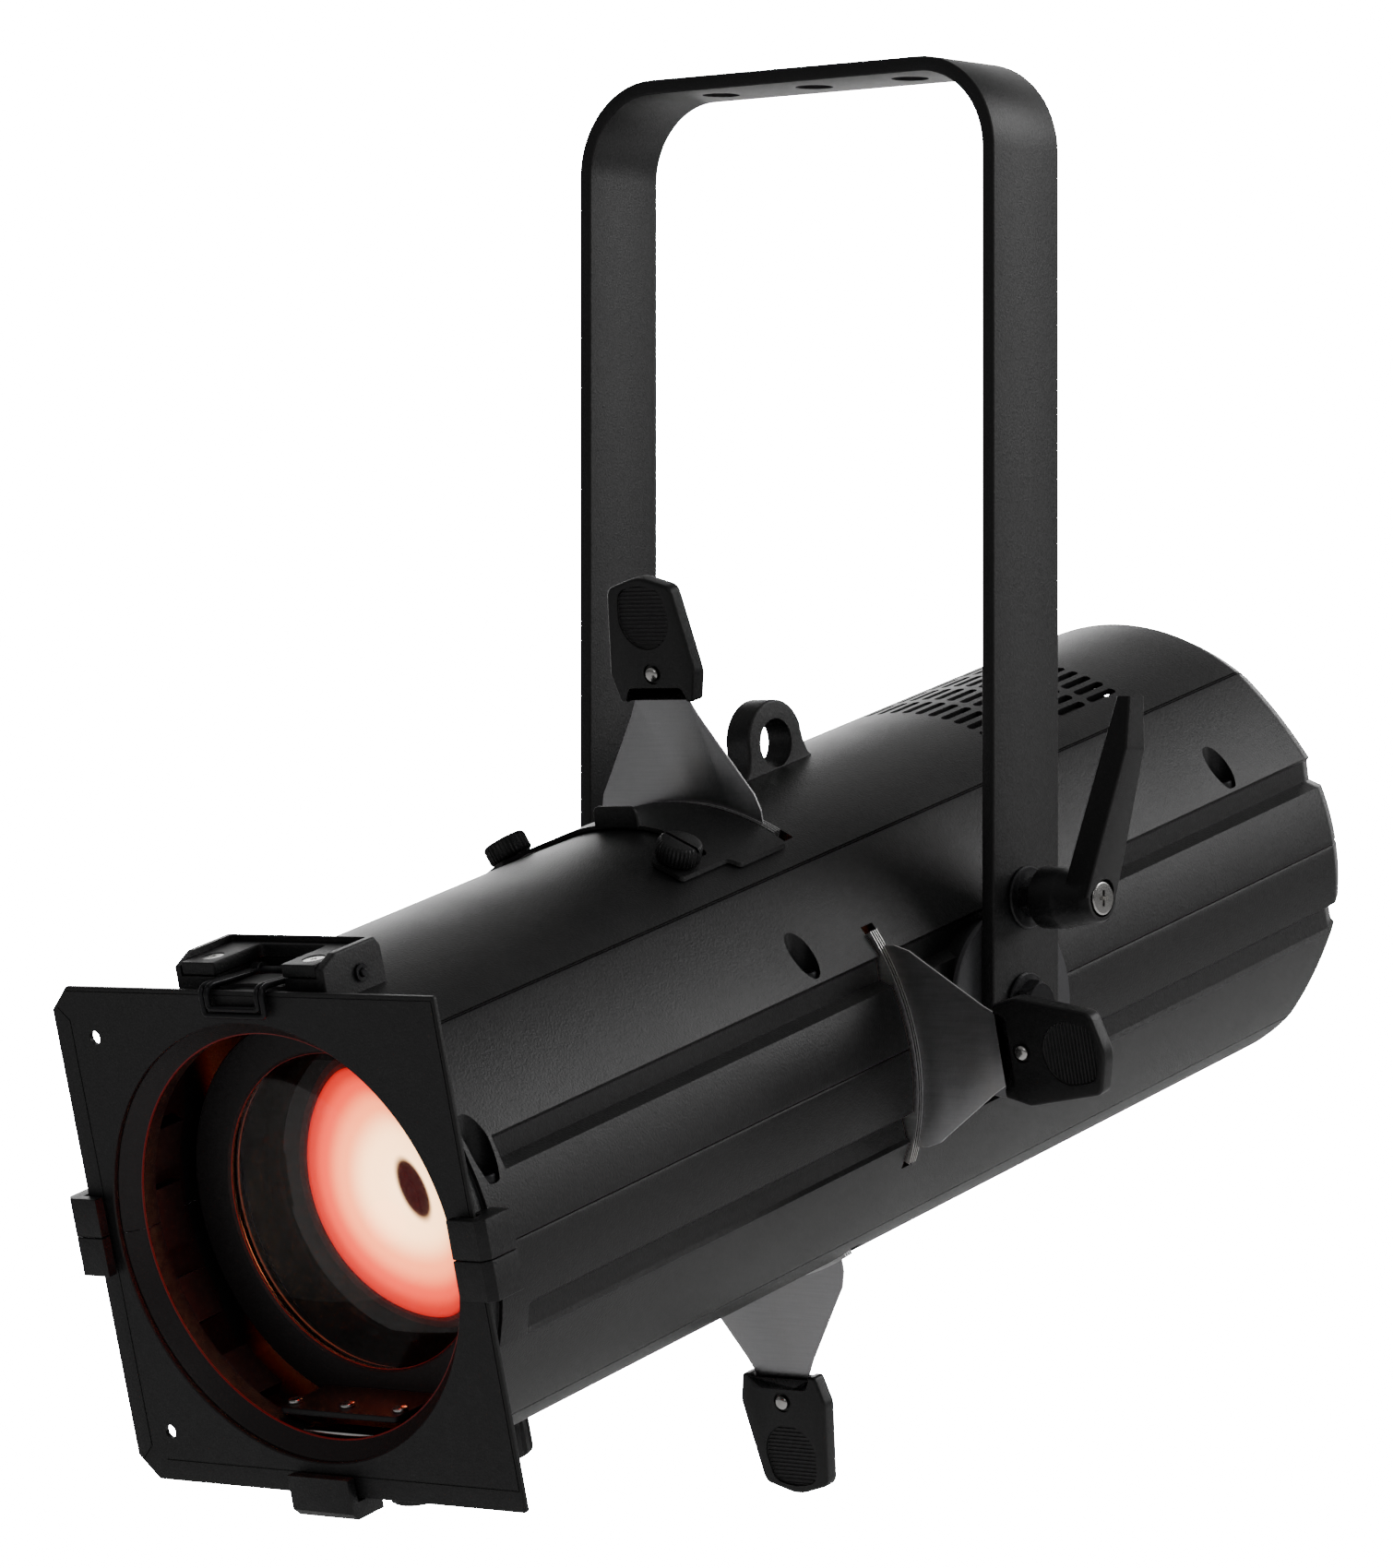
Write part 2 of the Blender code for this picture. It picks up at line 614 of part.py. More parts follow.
def frame_holder():
    """Block on top of the front end: two cheeks with a hollow between them, open to the front."""
    profile = [(-307, 80), (-274.5, 80), (-275, 102), (-277.3, 105.5), (-298.8, 105.5), (-307, 101.6)]
    holder = plate("frame_holder", [profile], "YZ", -36.6, 36.6, barrel, CASTING)
    cut(holder,
        rod("cut_holder_bed", (0, -330, 0), (0, -250, 0), BODY_R + 0.35, barrel, sides=96),
        block("cut_holder_hollow", (-17.5, -320, 60), (17.5, -281, 130), barrel),
        block("cut_holder_recess", (-33.4, -330, 98.0), (33.4, -278.2, 130), barrel),
        rod("cut_holder_pin", (-60, *BAIL_PIN), (60, *BAIL_PIN), BAIL_PIN_R + FIT, barrel, sides=16))
    outline = [(-33.1, -306.9), (-16.6, -306.9), (-16.6, -281.5), (16.6, -281.5), (16.6, -306.9),
               (33.1, -306.9), (33.1, -278.5), (-33.1, -278.5)]
    cover = plate("holder_plate", [outline], "XY", 98.3, 103.4, barrel, BLACK)
    for n, x in enumerate((-25.0, 25.0)):
        cut(cover, rod(f"cut_plate_screw_{n}", (x, -298, 102.3), (x, -298, 110), 2.6, barrel, sides=16))
    rod("bail_pin", (-38.6, *BAIL_PIN), (38.6, *BAIL_PIN), BAIL_PIN_R, barrel, DARK_STEEL, 16)


def wire_bail():
    """Wire bail that hangs over the top edge of the frame and turns on the pin."""
    axis = empty("bail_axis", (0, *BAIL_PIN), barrel)
    back, top = 2.6, 2.4
    front, low = FRAME_FACES[0] - 2.3 - BAIL_PIN[0], 87.0 - BAIL_PIN[1]
    right = [(BAIL_HALF, -back, 0.4), (BAIL_HALF, front + 3.0, top), (BAIL_HALF, front + 0.9, top - 0.9),
             (BAIL_HALF, front, top - 3.0), (BAIL_HALF, front, low + 3.0),
             (BAIL_HALF - 0.9, front, low + 0.9), (BAIL_HALF - 3.0, front, low)]
    path = right + [(-x, b, u) for x, b, u in right[::-1]]
    bail = wire("frame_bail", path, BAIL_WIRE_R, axis, DARK_STEEL, sides=2)
    eye = ring(BAIL_PIN_R + FIT, 2.8, -1.5, 1.5)
    eyes = [turned(f"join_bail_eye_{side}", eye, (s * BAIL_HALF, 0, 0), (1, 0, 0), axis, sides=20)
            for side, s in SIDES.items()]
    join(bail, *eyes)


def front_frame():
    """Folded sheet frame with a round aperture and two cut corners."""
    half = FRAME_SIZE / 2
    outline = [(-half, -half + FRAME_CORNER), (-half + FRAME_CORNER, -half), (half, -half), (half, half),
               (-half + FRAME_CORNER, half), (-half, half - FRAME_CORNER)]
    at, radius = FRAME_HOLE
    plate("front_frame", [outline, circle(FRAME_APERTURE_R, sides=48), circle(radius, (-at, at), 16),
                          circle(radius, (-at, -at), 16)], "XZ", *FRAME_FACES, barrel, BLACK)


frame_holder()
wire_bail()
front_frame()


# ---------------------------------------------------------------- gobo slot cover

def gobo_cover():
    """Curved cover with two wings, held by thumbscrews in slots that are open to the back."""
    shell = turned("gobo_cover", ring(*COVER_R, -140, -50), (0, 0, 0), BACK, barrel, BLACK, sides=96)
    half = [(53.6, -64.2), (53.6, -93), (49.7, -95), (49.7, -123), (37.1, -124), (22.6, -97)]
    outline = half + [(-x, b) for x, b in half[::-1]]
    trim = plate("keep_cover", [outline], "XY", 60, 110, barrel)
    tab = block("join_cover_tab", (-10.7, -98.4, 96.9), (10.7, -96.9, 105.0), barrel)
    keep_inside(shell, trim)
    join(shell, tab)
    for side, s in SIDES.items():
        x, b, _ = cover_point(s, COVER_R[1])
        outline = [(x - 3.1, b - 3.5), (x + 3.1, b - 3.5), (x + 3.1, b + 15.5), (x - 3.1, b + 15.5)]
        cut(shell, plate(f"cut_cover_slot_{side}", [outline], "XY", 60, 110, barrel))


def thumbscrew(side):
    """Knurled thumbscrew of the gobo cover, turning on its own axis."""
    s = SIDES[side]
    angle = math.radians(COVER_SCREW[0]) * s
    direction = (math.sin(angle), 0, math.cos(angle))
    foot = (0, COVER_SCREW[1], 0)
    profile = [(0, 106.2), (8.0, 106.2), (8.8, 105.4), (8.8, 98.0), (COVER_SCREW_R, 98.0),
               (COVER_SCREW_R, 88.0), (0, 88.0)]
    screw = turned(f"thumbscrew_{side}", profile, foot, direction, barrel, PLASTIC, sides=24)
    slot = block(f"cut_thumb_slot_{side}", (-9.5, -0.7, 105.0), (9.5, 0.7, 107.0), barrel)
    slot.matrix_basis = Matrix.Translation(Vector(foot) * MM) @ along(direction)
    cut(screw, slot)


gobo_cover()
for which in SIDES:
    thumbscrew(which)


# ---------------------------------------------------------------- gate and shutters

def gate_plates():
    """Two round plates either side of the shutter stack, with the gate aperture in them."""
    for name, low, high in (("gate_front_plate", -65.4, -63.4), ("gate_rear_plate", -54.6, -52.6)):
        plate(name, [circle(81.5, sides=40), circle(GATE_R, sides=32)], "XZ", low, high, barrel, STEEL)


def shutter(name, turn):
    """Sheet blade, moulded handle and rivet, drawn upright and turned round the barrel's axis."""
    b = SLICE_B[name]
    half = BLADE_THICKNESS / 2
    rivet_hole = circle(1.8, (0, RIVET_AT), 12)
    side = [(40.0, BLADE_EDGE), (40.0, 93.0), (38.0, 98.5), (34.0, 104.5), (16.6, 131.0), (13.5, 136.0),
            (13.5, 150.0)]
    blade = plate(f"shutter_blade_{name}", [side + [(-x, u) for x, u in side[::-1]], rivet_hole], "XZ",
                  b - half, b + half, barrel, STEEL)
    edge = [(18.2, 136.8), (21.3, 148.0), (15.8, 182.0), (0.0, 186.5)]
    outline = rounded(edge + [(-x, u) for x, u in edge[-2::-1]], [2, 6, 4, 14, 4, 6, 2], steps=2)
    handle = plate(f"shutter_handle_{name}", [outline, rivet_hole], "XZ", b - HANDLE_HALF, b + HANDLE_HALF,
                   barrel, PLASTIC)
    gap = half + FIT
    slit = block(f"cut_handle_slit_{name}", (-14.2, b - gap, 120), (14.2, b + gap, 150.6), barrel)
    thumb = rod(f"cut_thumb_rest_{name}", (0, b - 6, 169.5), (0, b - 2.5, 169.5), 11.6, barrel, sides=16)
    cut(handle, slit, thumb)
    head = [(0, 5.0), (2.0, 4.7), (2.9, 3.7), (1.5, 3.65)]
    profile = head + [(radius, -height) for radius, height in head[::-1]]
    rivet = turned(f"shutter_rivet_{name}", profile, (0, b, RIVET_AT), BACK, barrel, NICKEL, sides=10)
    spin = Matrix.Rotation(turn, 4, "Y")
    for piece in (blade, handle, slit, thumb, rivet):
        piece.matrix_basis = spin @ piece.matrix_basis


gate_plates()
for which, quarter in (("top", 0), ("right", 1), ("bottom", 2), ("left", 3)):
    shutter(which, quarter * TURN / 4)


# ---------------------------------------------------------------- lenses

def arc_of_lens(radius, sag, at, way, steps=4):
    """(radius, height) points of a spherical face from its axis to its edge; way is +1 for a back face."""
    sphere = (radius * radius + sag * sag) / (2 * sag)
    points = []
    for k in range(steps + 1):
        out = radius * k / steps
        drop = sphere - math.sqrt(sphere ** 2 - out ** 2)
        points.append((out, at + way * (sag - drop)))
    return points


def lens_group(word, lens, front_sag, back_sag, edge, depth):
    """Glass, its sliding holder and the knob that clamps it in its slot."""
    b, radius = lens["b"], lens["radius"]
    back_face = arc_of_lens(radius, back_sag, edge, 1)
    front_face = arc_of_lens(radius, front_sag, 0.0, -1)
    turned(f"{word}_lens", back_face + front_face[::-1], (0, b, 0), BACK, barrel, GLASS)
    rim = 1 - (lens["clear"] / radius) ** 2
    front_lip = -front_sag * rim - 2 * FIT
    back_lip = edge + back_sag * rim + 2 * FIT
    clear, skirt = lens["clear"], radius + 6
    profile = [(HOLDER_R, depth), (HOLDER_R, -5.0), (clear, front_lip - 1.8), (clear, front_lip),
               (radius + FIT, front_lip), (radius + FIT, back_lip), (clear, back_lip), (clear, back_lip + 2.0),
               (skirt, back_lip + 2.0), (skirt, depth)]
    holder = turned(f"{word}_lens_holder", profile, (0, b, 0), BACK, barrel, BLACK)
    knob_b = lens["knob"]
    socket = rod(f"cut_{word}_socket", (0, knob_b, -90), (0, knob_b, -71.5), KNOB_STUD_R + FIT, barrel,
                 sides=16)
    if word == "front":
        join(holder, block("join_ledge", (-29, -303.5, -70.0), (29, b - 1.0, -67.5), barrel))
    cut(holder, socket)
    bottom, top = KNOB_U
    profile = [(0, -72.5), (KNOB_STUD_R, -72.5), (KNOB_STUD_R, top), (KNOB_R - 1, top), (KNOB_R, top - 1),
               (KNOB_R, bottom + 1.5), (KNOB_R - 1.5, bottom), (0, bottom)]
    turned(f"{word}_lens_knob", profile, (0, knob_b, 0), (0, 0, 1), barrel, PLASTIC, sides=20)


lens_group("front", FRONT_LENS, 9.0, 6.0, 4.0, 16.0)
lens_group("rear", REAR_LENS, 14.0, 4.0, 4.0, 12.0)


# ---------------------------------------------------------------- light engine and cooling

def light_engine():
    """Condenser lens, board of emitters and finned heat sink, in a line behind the gate."""
    condenser = arc_of_lens(42.0, 6.0, 5.0, 1) + arc_of_lens(42.0, 14.0, 0.0, -1)[::-1]
    turned("condenser_lens", condenser, (0, 20, 0), BACK, barrel, GLASS, sides=32)
    rod("led_board", (0, 56.0, 0), (0, 58.0, 0), 46.0, barrel, BOARD, 40)
    reach, pitch, fin = 72.0, 12.0, 1.6
    count = int(reach // pitch) - 1
    sink = block("heat_sink", (-66.0, 62.0, -4.0), (66.0, 150.0, 4.0), barrel, ALUMINIUM)
    base = rod("join_sink_base", (0, 58.3, 0), (0, 64.0, 0), 58.0, barrel, sides=40)
    fins = []
    for k in range(-count, count + 1):
        tall = math.sqrt(reach ** 2 - (k * pitch) ** 2)
        x = k * pitch
        fins.append(block(f"join_fin_{k + count}", (x - fin, 62.4, -tall), (x + fin, 149.6, tall), barrel))
    join(sink, base, *fins)


def fan():
    """Square fan with a ring, three struts and a seven-bladed rotor on the barrel's axis."""
    square = rounded([(-42, -42), (42, -42), (42, 42), (-42, 42)], 5, steps=2)
    housing = plate("fan_housing", [square, circle(38, sides=32)], "XZ", 154, 174, barrel, PLASTIC)
    motor = rod("join_fan_motor", (0, 168.3, 0), (0, 173.5, 0), 15, barrel, sides=24)
    struts = []
    for k in range(3):
        strut = block(f"join_fan_strut_{k}", (-2.5, 170, 0), (2.5, 173, 40), barrel)
        strut.matrix_basis = Matrix.Rotation(k * TURN / 3, 4, "Y")
        struts.append(strut)
    join(housing, motor, *struts)
    rotor = rod("fan_rotor", (0, 155.5, 0), (0, 167.8, 0), 14, barrel, PLASTIC, 24)
    blades = []
    for k in range(7):
        blade = block(f"join_fan_blade_{k}", (-8, -0.8, 10), (8, 0.8, 36.5), barrel)
        blade.matrix_basis = (Matrix.Rotation(k * TURN / 7, 4, "Y") @ Matrix.Translation((0, 161.6 * MM, 0))
                              @ Matrix.Rotation(math.radians(32), 4, "Z"))
        blades.append(blade)
    join(rotor, *blades)


light_engine()
fan()
block("power_supply", (-56, 181, -42), (56, 205, 34), barrel, ALUMINIUM)


# ---------------------------------------------------------------- back panel

BUTTONS = [(14.0 + 14.0 * k, 38.0) for k in range(4)]
SOCKETS = {
    "power_inlet": (-34.0, -34.0, 13.0, 10.5),
    "power_outlet": (0.0, -34.0, 13.0, 10.5),
}
ROUND_SOCKETS = {
    "data_input": (-18.0, 4.0, 9.5),
    "data_output": (18.0, 4.0, 9.5),
    "fuse_holder": (34.0, -34.0, 6.0),
}
DISPLAY = (-24.0, 38.0, 25.0, 11.0)


def rectangle(x, u, half_x, half_u):
    left, right, low, high = x - half_x, x + half_x, u - half_u, u + half_u
    return [(left, low), (right, low), (right, high), (left, high)]


def rear_panel():
    """Flat panel inside the back rim, pierced for the display, buttons, sockets and air."""
    edge = [(x * 0.985, u * 0.985) for x, u in bore()]
    outline = edge + [(x, -u) for x, u in edge[::-1]]
    holes = [rectangle(DISPLAY[0], DISPLAY[1], DISPLAY[2] + FIT, DISPLAY[3] + FIT)]
    holes += [circle(4.0 + FIT, place, 12) for place in BUTTONS]
    holes += [rectangle(x, u, hx + FIT, hu + FIT) for x, u, hx, hu in SOCKETS.values()]
    holes += [circle(r + FIT, (x, u), 16) for x, u, r in ROUND_SOCKETS.values()]
    holes += [rectangle(0.0, 60.0 + 5.0 * k, 30.0 - 4.0 * k, 1.4) for k in range(4)]
    plate("rear_panel", [outline] + holes, "XZ", *PANEL_B, barrel, CASTING)
    block("display_window", (DISPLAY[0] - DISPLAY[2], 223.0, DISPLAY[1] - DISPLAY[3]),
          (DISPLAY[0] + DISPLAY[2], 228.3, DISPLAY[1] + DISPLAY[3]), barrel, SCREEN)


def buttons():
    for n, (x, u) in enumerate(BUTTONS, start=1):
        profile = [(0, 230.0), (3.4, 230.0), (4.0, 229.4), (4.0, 224.7), (5.4, 224.7), (5.4, 222.6),
                   (0, 222.6)]
        turned(f"menu_button_{n}", profile, (x, 0, u), BACK, barrel, PLASTIC, sides=12)


def sockets():
    for name, (x, u, hx, hu) in SOCKETS.items():
        shell = block(name, (x - hx, 212, u - hu), (x + hx, 227.0, u + hu), barrel, PLASTIC)
        steps = [(f"join_{name}", 2.0, 228.3, 230.3), (f"join_{name}_neck", -0.2, 220, 229.5),
                 (f"cut_{name}", -2.5, 216, 240)]
        flange, neck, mouth = [
            block(word, (x - hx - more, low, u - hu - more), (x + hx + more, high, u + hu + more), barrel)
            for word, more, low, high in steps]
        cut(join(shell, neck, flange), mouth)
    for name, (x, u, r) in ROUND_SOCKETS.items():
        hollow, flange = r - 1.8, r + 2.0
        if name == "fuse_holder":
            profile = [(0, 233.0), (r - 0.6, 233.0), (flange, 231.5), (flange, 228.3), (r, 228.3), (r, 213.0),
                       (0, 213.0)]
            turned(name, profile, (x, 0, u), BACK, barrel, PLASTIC, sides=16)
        else:
            profile = [(flange, 230.3), (flange, 228.3), (r, 228.3), (r, 213.0), (hollow - 4.0, 213.0),
                       (hollow - 4.0, 217.0), (hollow, 217.0), (hollow, 230.3)]
            turned(name, profile, (x, 0, u), BACK, barrel, DARK_STEEL, sides=16)


rear_panel()
buttons()
sockets()
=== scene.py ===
# %% [markdown]
# # A profile spotlight, piece by piece
# A theatre profile spotlight is a long cast barrel hung in a flat-bar yoke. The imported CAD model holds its
# sizes and its moving bodies; this lesson dresses it. Nearly every piece below is a surface worked out with
# numpy: a grid of points from a formula, or a profile carried along a path.

# %% Load the frame
import json
import math

import bmesh
import bpy
import numpy as np
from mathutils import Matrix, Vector


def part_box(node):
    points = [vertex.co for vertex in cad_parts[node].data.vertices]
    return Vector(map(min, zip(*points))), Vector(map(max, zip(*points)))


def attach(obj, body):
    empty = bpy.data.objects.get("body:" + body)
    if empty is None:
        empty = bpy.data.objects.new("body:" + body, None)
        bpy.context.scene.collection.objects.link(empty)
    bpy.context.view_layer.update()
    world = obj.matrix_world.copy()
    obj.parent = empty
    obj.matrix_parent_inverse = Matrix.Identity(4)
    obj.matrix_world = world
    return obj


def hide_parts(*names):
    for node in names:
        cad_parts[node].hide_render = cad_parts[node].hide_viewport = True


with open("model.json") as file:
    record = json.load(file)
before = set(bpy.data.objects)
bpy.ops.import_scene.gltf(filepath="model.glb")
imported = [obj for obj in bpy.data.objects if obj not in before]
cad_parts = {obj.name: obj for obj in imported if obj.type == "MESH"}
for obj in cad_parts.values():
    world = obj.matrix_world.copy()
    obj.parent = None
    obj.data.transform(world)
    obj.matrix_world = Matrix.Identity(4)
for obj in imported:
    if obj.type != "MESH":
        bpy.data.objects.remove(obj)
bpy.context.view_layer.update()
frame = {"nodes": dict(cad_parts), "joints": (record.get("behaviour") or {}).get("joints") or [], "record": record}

# %% [markdown]
# ## Two frames
# The yoke hangs straight, but the barrel is nosed down on its tilt joint. Points on the barrel are easiest
# to write as (x, b, u) in millimetres: x across, b back along the barrel and u up from its axis. The slide
# of the zoom carriage runs along b, so its joint gives the barrel's direction, and the tilt joint gives its
# centre.

# %% Barrel and yoke frames
MM = 0.001
JOINTS = {joint["name"]: joint for joint in frame["joints"]}
PIVOT = np.array(JOINTS["tilt"]["pos_m"])
ALONG = np.array(JOINTS["zoom_slide"]["axis"])
ACROSS = np.array([1.0, 0.0, 0.0])
UP = np.cross(ACROSS, ALONG)


def on_barrel(points):
    """(x, b, u) in millimetres to world metres: pivot + x across + b along + u up."""
    return PIVOT + np.asarray(points, float) * MM @ np.stack([ACROSS, ALONG, UP])


def on_yoke(points):
    """(x, y, z) in millimetres from the yoke's top face to world metres."""
    return np.asarray(points, float) * MM


def swap(points, order):
    """Reorders the last axis of a point array."""
    return np.asarray(points, float)[..., order]


print("barrel points along", ALONG.round(3), "and up is", UP.round(3))

# %% [markdown]
# ## Surfaces from grids
# A grid of points becomes a mesh by joining each point to its neighbours: the face at row i and column j
# has the corners (i, j), (i, j + 1), (i + 1, j + 1) and (i + 1, j). A grid that comes back to its start
# wraps. Where a profile touches its axis a whole row falls on one point, so doubles are merged, and the
# normals are then turned outwards.

# %% Grid to mesh
MERGE = 2e-6
CREASE = math.radians(32)


def mesh_object(name, points, faces, crease=CREASE, tidy=True):
    """Mesh from an (n, 3) array of world points and a list of index arrays, smooth up to the crease angle."""
    mesh = bpy.data.meshes.new(name)
    mesh.from_pydata(np.asarray(points, float).tolist(), [], [np.asarray(face).tolist() for face in faces])
    if tidy:
        bm = bmesh.new()
        bm.from_mesh(mesh)
        bmesh.ops.remove_doubles(bm, verts=bm.verts, dist=MERGE)
        bmesh.ops.dissolve_degenerate(bm, edges=bm.edges, dist=MERGE / 2)
        bmesh.ops.recalc_face_normals(bm, faces=bm.faces)
        bm.to_mesh(mesh)
        bm.free()
    mesh.shade_smooth()
    mesh.set_sharp_from_angle(angle=crease)
    made = bpy.data.objects.new(name, mesh)
    bpy.context.scene.collection.objects.link(made)
    return made


def grid_faces(rows, cols, wrap_rows=False, wrap_cols=False):
    """Corner numbers of every quad of a grid, as one array."""
    i = np.arange(rows if wrap_rows else rows - 1)[:, None]
    j = np.arange(cols if wrap_cols else cols - 1)[None, :]
    i2, j2 = (i + 1) % rows, (j + 1) % cols
    quads = np.stack(np.broadcast_arrays(i * cols + j, i * cols + j2, i2 * cols + j2, i2 * cols + j), -1)
    return quads.reshape(-1, 4)


def surface(name, grid, wrap_rows=False, caps=True, place=on_barrel, crease=CREASE):
    """Closed surface from a grid of local points: wrapped across, and capped at its first and last rows."""
    rows, cols = grid.shape[:2]
    faces = list(grid_faces(rows, cols, wrap_rows, wrap_cols=True))
    if caps and not wrap_rows:
        faces += [np.arange(cols)[::-1], np.arange(cols) + (rows - 1) * cols]
    return mesh_object(name, place(grid.reshape(-1, 3)), faces, crease)


def spun(name, profile, centre=(0, 0, 0), axis="b", steps=96, place=on_barrel, wrap=False):
    """Turned piece: each (radius, height) of the profile swept round an axis.
    x = r cos(a), y = r sin(a), z = h, with z laid on the named axis. wrap joins the last ring to
    the first."""
    profile = np.asarray(profile, float)
    angle = np.linspace(0, 2 * np.pi, steps, endpoint=False)
    r, h = profile[:, 0][:, None], profile[:, 1][:, None]
    flat = np.stack([r * np.cos(angle), r * np.sin(angle), h + 0 * angle], -1)
    order = {"b": [0, 2, 1], "u": [0, 1, 2], "x": [2, 0, 1]}[axis]
    return surface(name, swap(flat, order) + np.asarray(centre, float), wrap_rows=wrap, caps=not wrap,
                   place=place)


def arc(radius, centre, start, end, steps):
    """Points of an arc between two angles in degrees, both ends included."""
    angle = np.radians(np.linspace(start, end, steps + 1))
    return np.stack([centre[0] + radius * np.cos(angle), centre[1] + radius * np.sin(angle)], -1)


def circle(radius, centre=(0, 0), steps=64):
    return arc(radius, centre, 0, 360, steps)[:-1]


def smooth_corners(corners, radii, steps=6):
    """Closed outline whose corners are arcs that touch both sides; a radius of 0 keeps a corner."""
    corners = np.asarray(corners, float)
    radii = np.broadcast_to(np.asarray(radii, float), len(corners))
    before = np.roll(corners, 1, 0) - corners
    after = np.roll(corners, -1, 0) - corners
    before /= np.linalg.norm(before, axis=1)[:, None]
    after /= np.linalg.norm(after, axis=1)[:, None]
    half = np.arccos(np.clip((before * after).sum(1), -1, 1)) / 2
    middle = corners + (before + after) / np.linalg.norm(before + after + 1e-12, axis=1)[:, None] * (
        radii / np.sin(half))[:, None]
    first = corners + before * (radii / np.tan(half))[:, None] - middle
    turn = (np.pi - 2 * half) * np.sign(before[:, 0] * after[:, 1] - before[:, 1] * after[:, 0])
    swing = -np.linspace(0, 1, steps + 1)[None, :] * turn[:, None]
    x = first[:, :1] * np.cos(swing) - first[:, 1:] * np.sin(swing)
    y = first[:, :1] * np.sin(swing) + first[:, 1:] * np.cos(swing)
    points = middle[:, None] + np.stack([x, y], -1)
    return np.concatenate([p if r > 0 else c[None] for p, r, c in zip(points, radii, corners)])


def counter_clockwise(outline):
    x, y = outline[:, 0], outline[:, 1]
    area = (x * np.roll(y, -1) - y * np.roll(x, -1)).sum()
    return outline if area > 0 else outline[::-1]


def inset(outline, depth):
    """The outline moved inwards by a depth, each corner along the mean of its two edge normals."""
    ahead = np.roll(outline, -1, 0) - outline
    ahead /= np.maximum(np.linalg.norm(ahead, axis=1), 1e-9)[:, None]
    normal = np.stack([-ahead[:, 1], ahead[:, 0]], -1)
    other = np.roll(normal, 1, 0)
    mean = (normal + other) / np.maximum(1 + (normal * other).sum(1), 0.35)[:, None]
    return outline + mean * depth


PLANES = {"xu": [0, 2, 1], "xb": [0, 1, 2], "bu": [2, 0, 1]}


def slab(name, outline, low, high, edge=0.4, plane="xb", place=on_barrel, steps=3):
    """Flat piece with rounded rims. Its side is the outline carried from low to high; near each rim it moves
    inwards by edge (1 - sin t) while it climbs by edge (1 - cos t)."""
    outline = counter_clockwise(np.asarray(outline, float))
    t = np.linspace(0, np.pi / 2, steps + 1) if edge else np.array([0.0])
    depth = edge * (1 - np.sin(t)) if edge else np.array([0.0])
    climb = edge * (1 - np.cos(t)) if edge else np.array([0.0])
    rings = [np.column_stack([inset(outline, d), np.full(len(outline), low + c)])
             for d, c in zip(depth, climb)]
    rings += [np.column_stack([inset(outline, d), np.full(len(outline), high - c)])
              for d, c in zip(depth[::-1], climb[::-1])]
    grid = swap(np.stack(rings), PLANES[plane])
    return surface(name, grid, place=place)


def tube(name, path, radius, side, sides=16, place=on_barrel, closed=False):
    """Round wire: a circle carried along a path, standing on the path's direction and a fixed side vector."""
    path = np.asarray(path, float)
    ahead = np.gradient(path, axis=0)
    if closed:
        ahead = np.roll(path, -1, 0) - np.roll(path, 1, 0)
    ahead /= np.linalg.norm(ahead, axis=1)[:, None]
    normal = np.cross(ahead, side)
    normal /= np.linalg.norm(normal, axis=1)[:, None]
    other = np.cross(normal, ahead)
    a = np.linspace(0, 2 * np.pi, sides, endpoint=False)[None, :, None]
    grid = path[:, None] + radius * (np.cos(a) * normal[:, None] + np.sin(a) * other[:, None])
    return surface(name, grid, wrap_rows=closed, caps=not closed, place=place)


def box(name, low, high, edge=0.0, place=on_barrel):
    """Straight block between two corners, as a slab with a rectangular outline."""
    (x0, b0, u0), (x1, b1, u1) = low, high
    return slab(name, [(x0, b0), (x1, b0), (x1, b1), (x0, b1)], u0, u1, edge, "xb", place, steps=2)


print("shape helpers ready")

# %% [markdown]
# ## Cutting and joining
# A slot through a curved wall isn't a grid, so it is cut: the wall and the tool are both closed surfaces,
# and a Boolean modifier takes one from the other. The modifier is applied at once, so a finished piece is
# one plain mesh whose object sits at the origin.

# %% Booleans


def settle(piece, crease=CREASE):
    """Applies the modifiers of a piece and shades it smooth up to the crease angle."""
    evaluated = piece.evaluated_get(bpy.context.evaluated_depsgraph_get())
    mesh = bpy.data.meshes.new_from_object(evaluated)
    piece.modifiers.clear()
    piece.data = mesh
    mesh.shade_smooth()
    mesh.set_sharp_from_angle(angle=crease)
    return piece


def merged(name, pieces):
    """One object from several separate bodies."""
    bm = bmesh.new()
    for piece in pieces:
        bm.from_mesh(piece.data)
        bpy.data.objects.remove(piece, do_unlink=True)
    mesh = bpy.data.meshes.new(name)
    bm.to_mesh(mesh)
    bm.free()
    mesh.shade_smooth()
    mesh.set_sharp_from_angle(angle=CREASE)
    made = bpy.data.objects.new(name, mesh)
    bpy.context.scene.collection.objects.link(made)
    return made


def carve(target, tools, how="DIFFERENCE", crease=CREASE):
    """Takes the tools from the target, or joins them to it, one after another."""
    for tool in tools:
        step = target.modifiers.new("carve", "BOOLEAN")
        step.operation = how
        step.solver = "MANIFOLD"
        step.object = tool
    settle(target, crease)
    for tool in tools:
        bpy.data.objects.remove(tool, do_unlink=True)
    return target


print("cutting helpers ready")

# %% [markdown]
# ## Effects that several finishes share
# Powder coat, moulded plastic and cast metal all have a fine grain, and all of them pick up a little dust and
# rub bright at their corners. Each effect is one node group with named sockets, built once and placed in each
# material with its own values. A group only puts out masks and heights; the shader stays in the material.

# %% Shared node groups


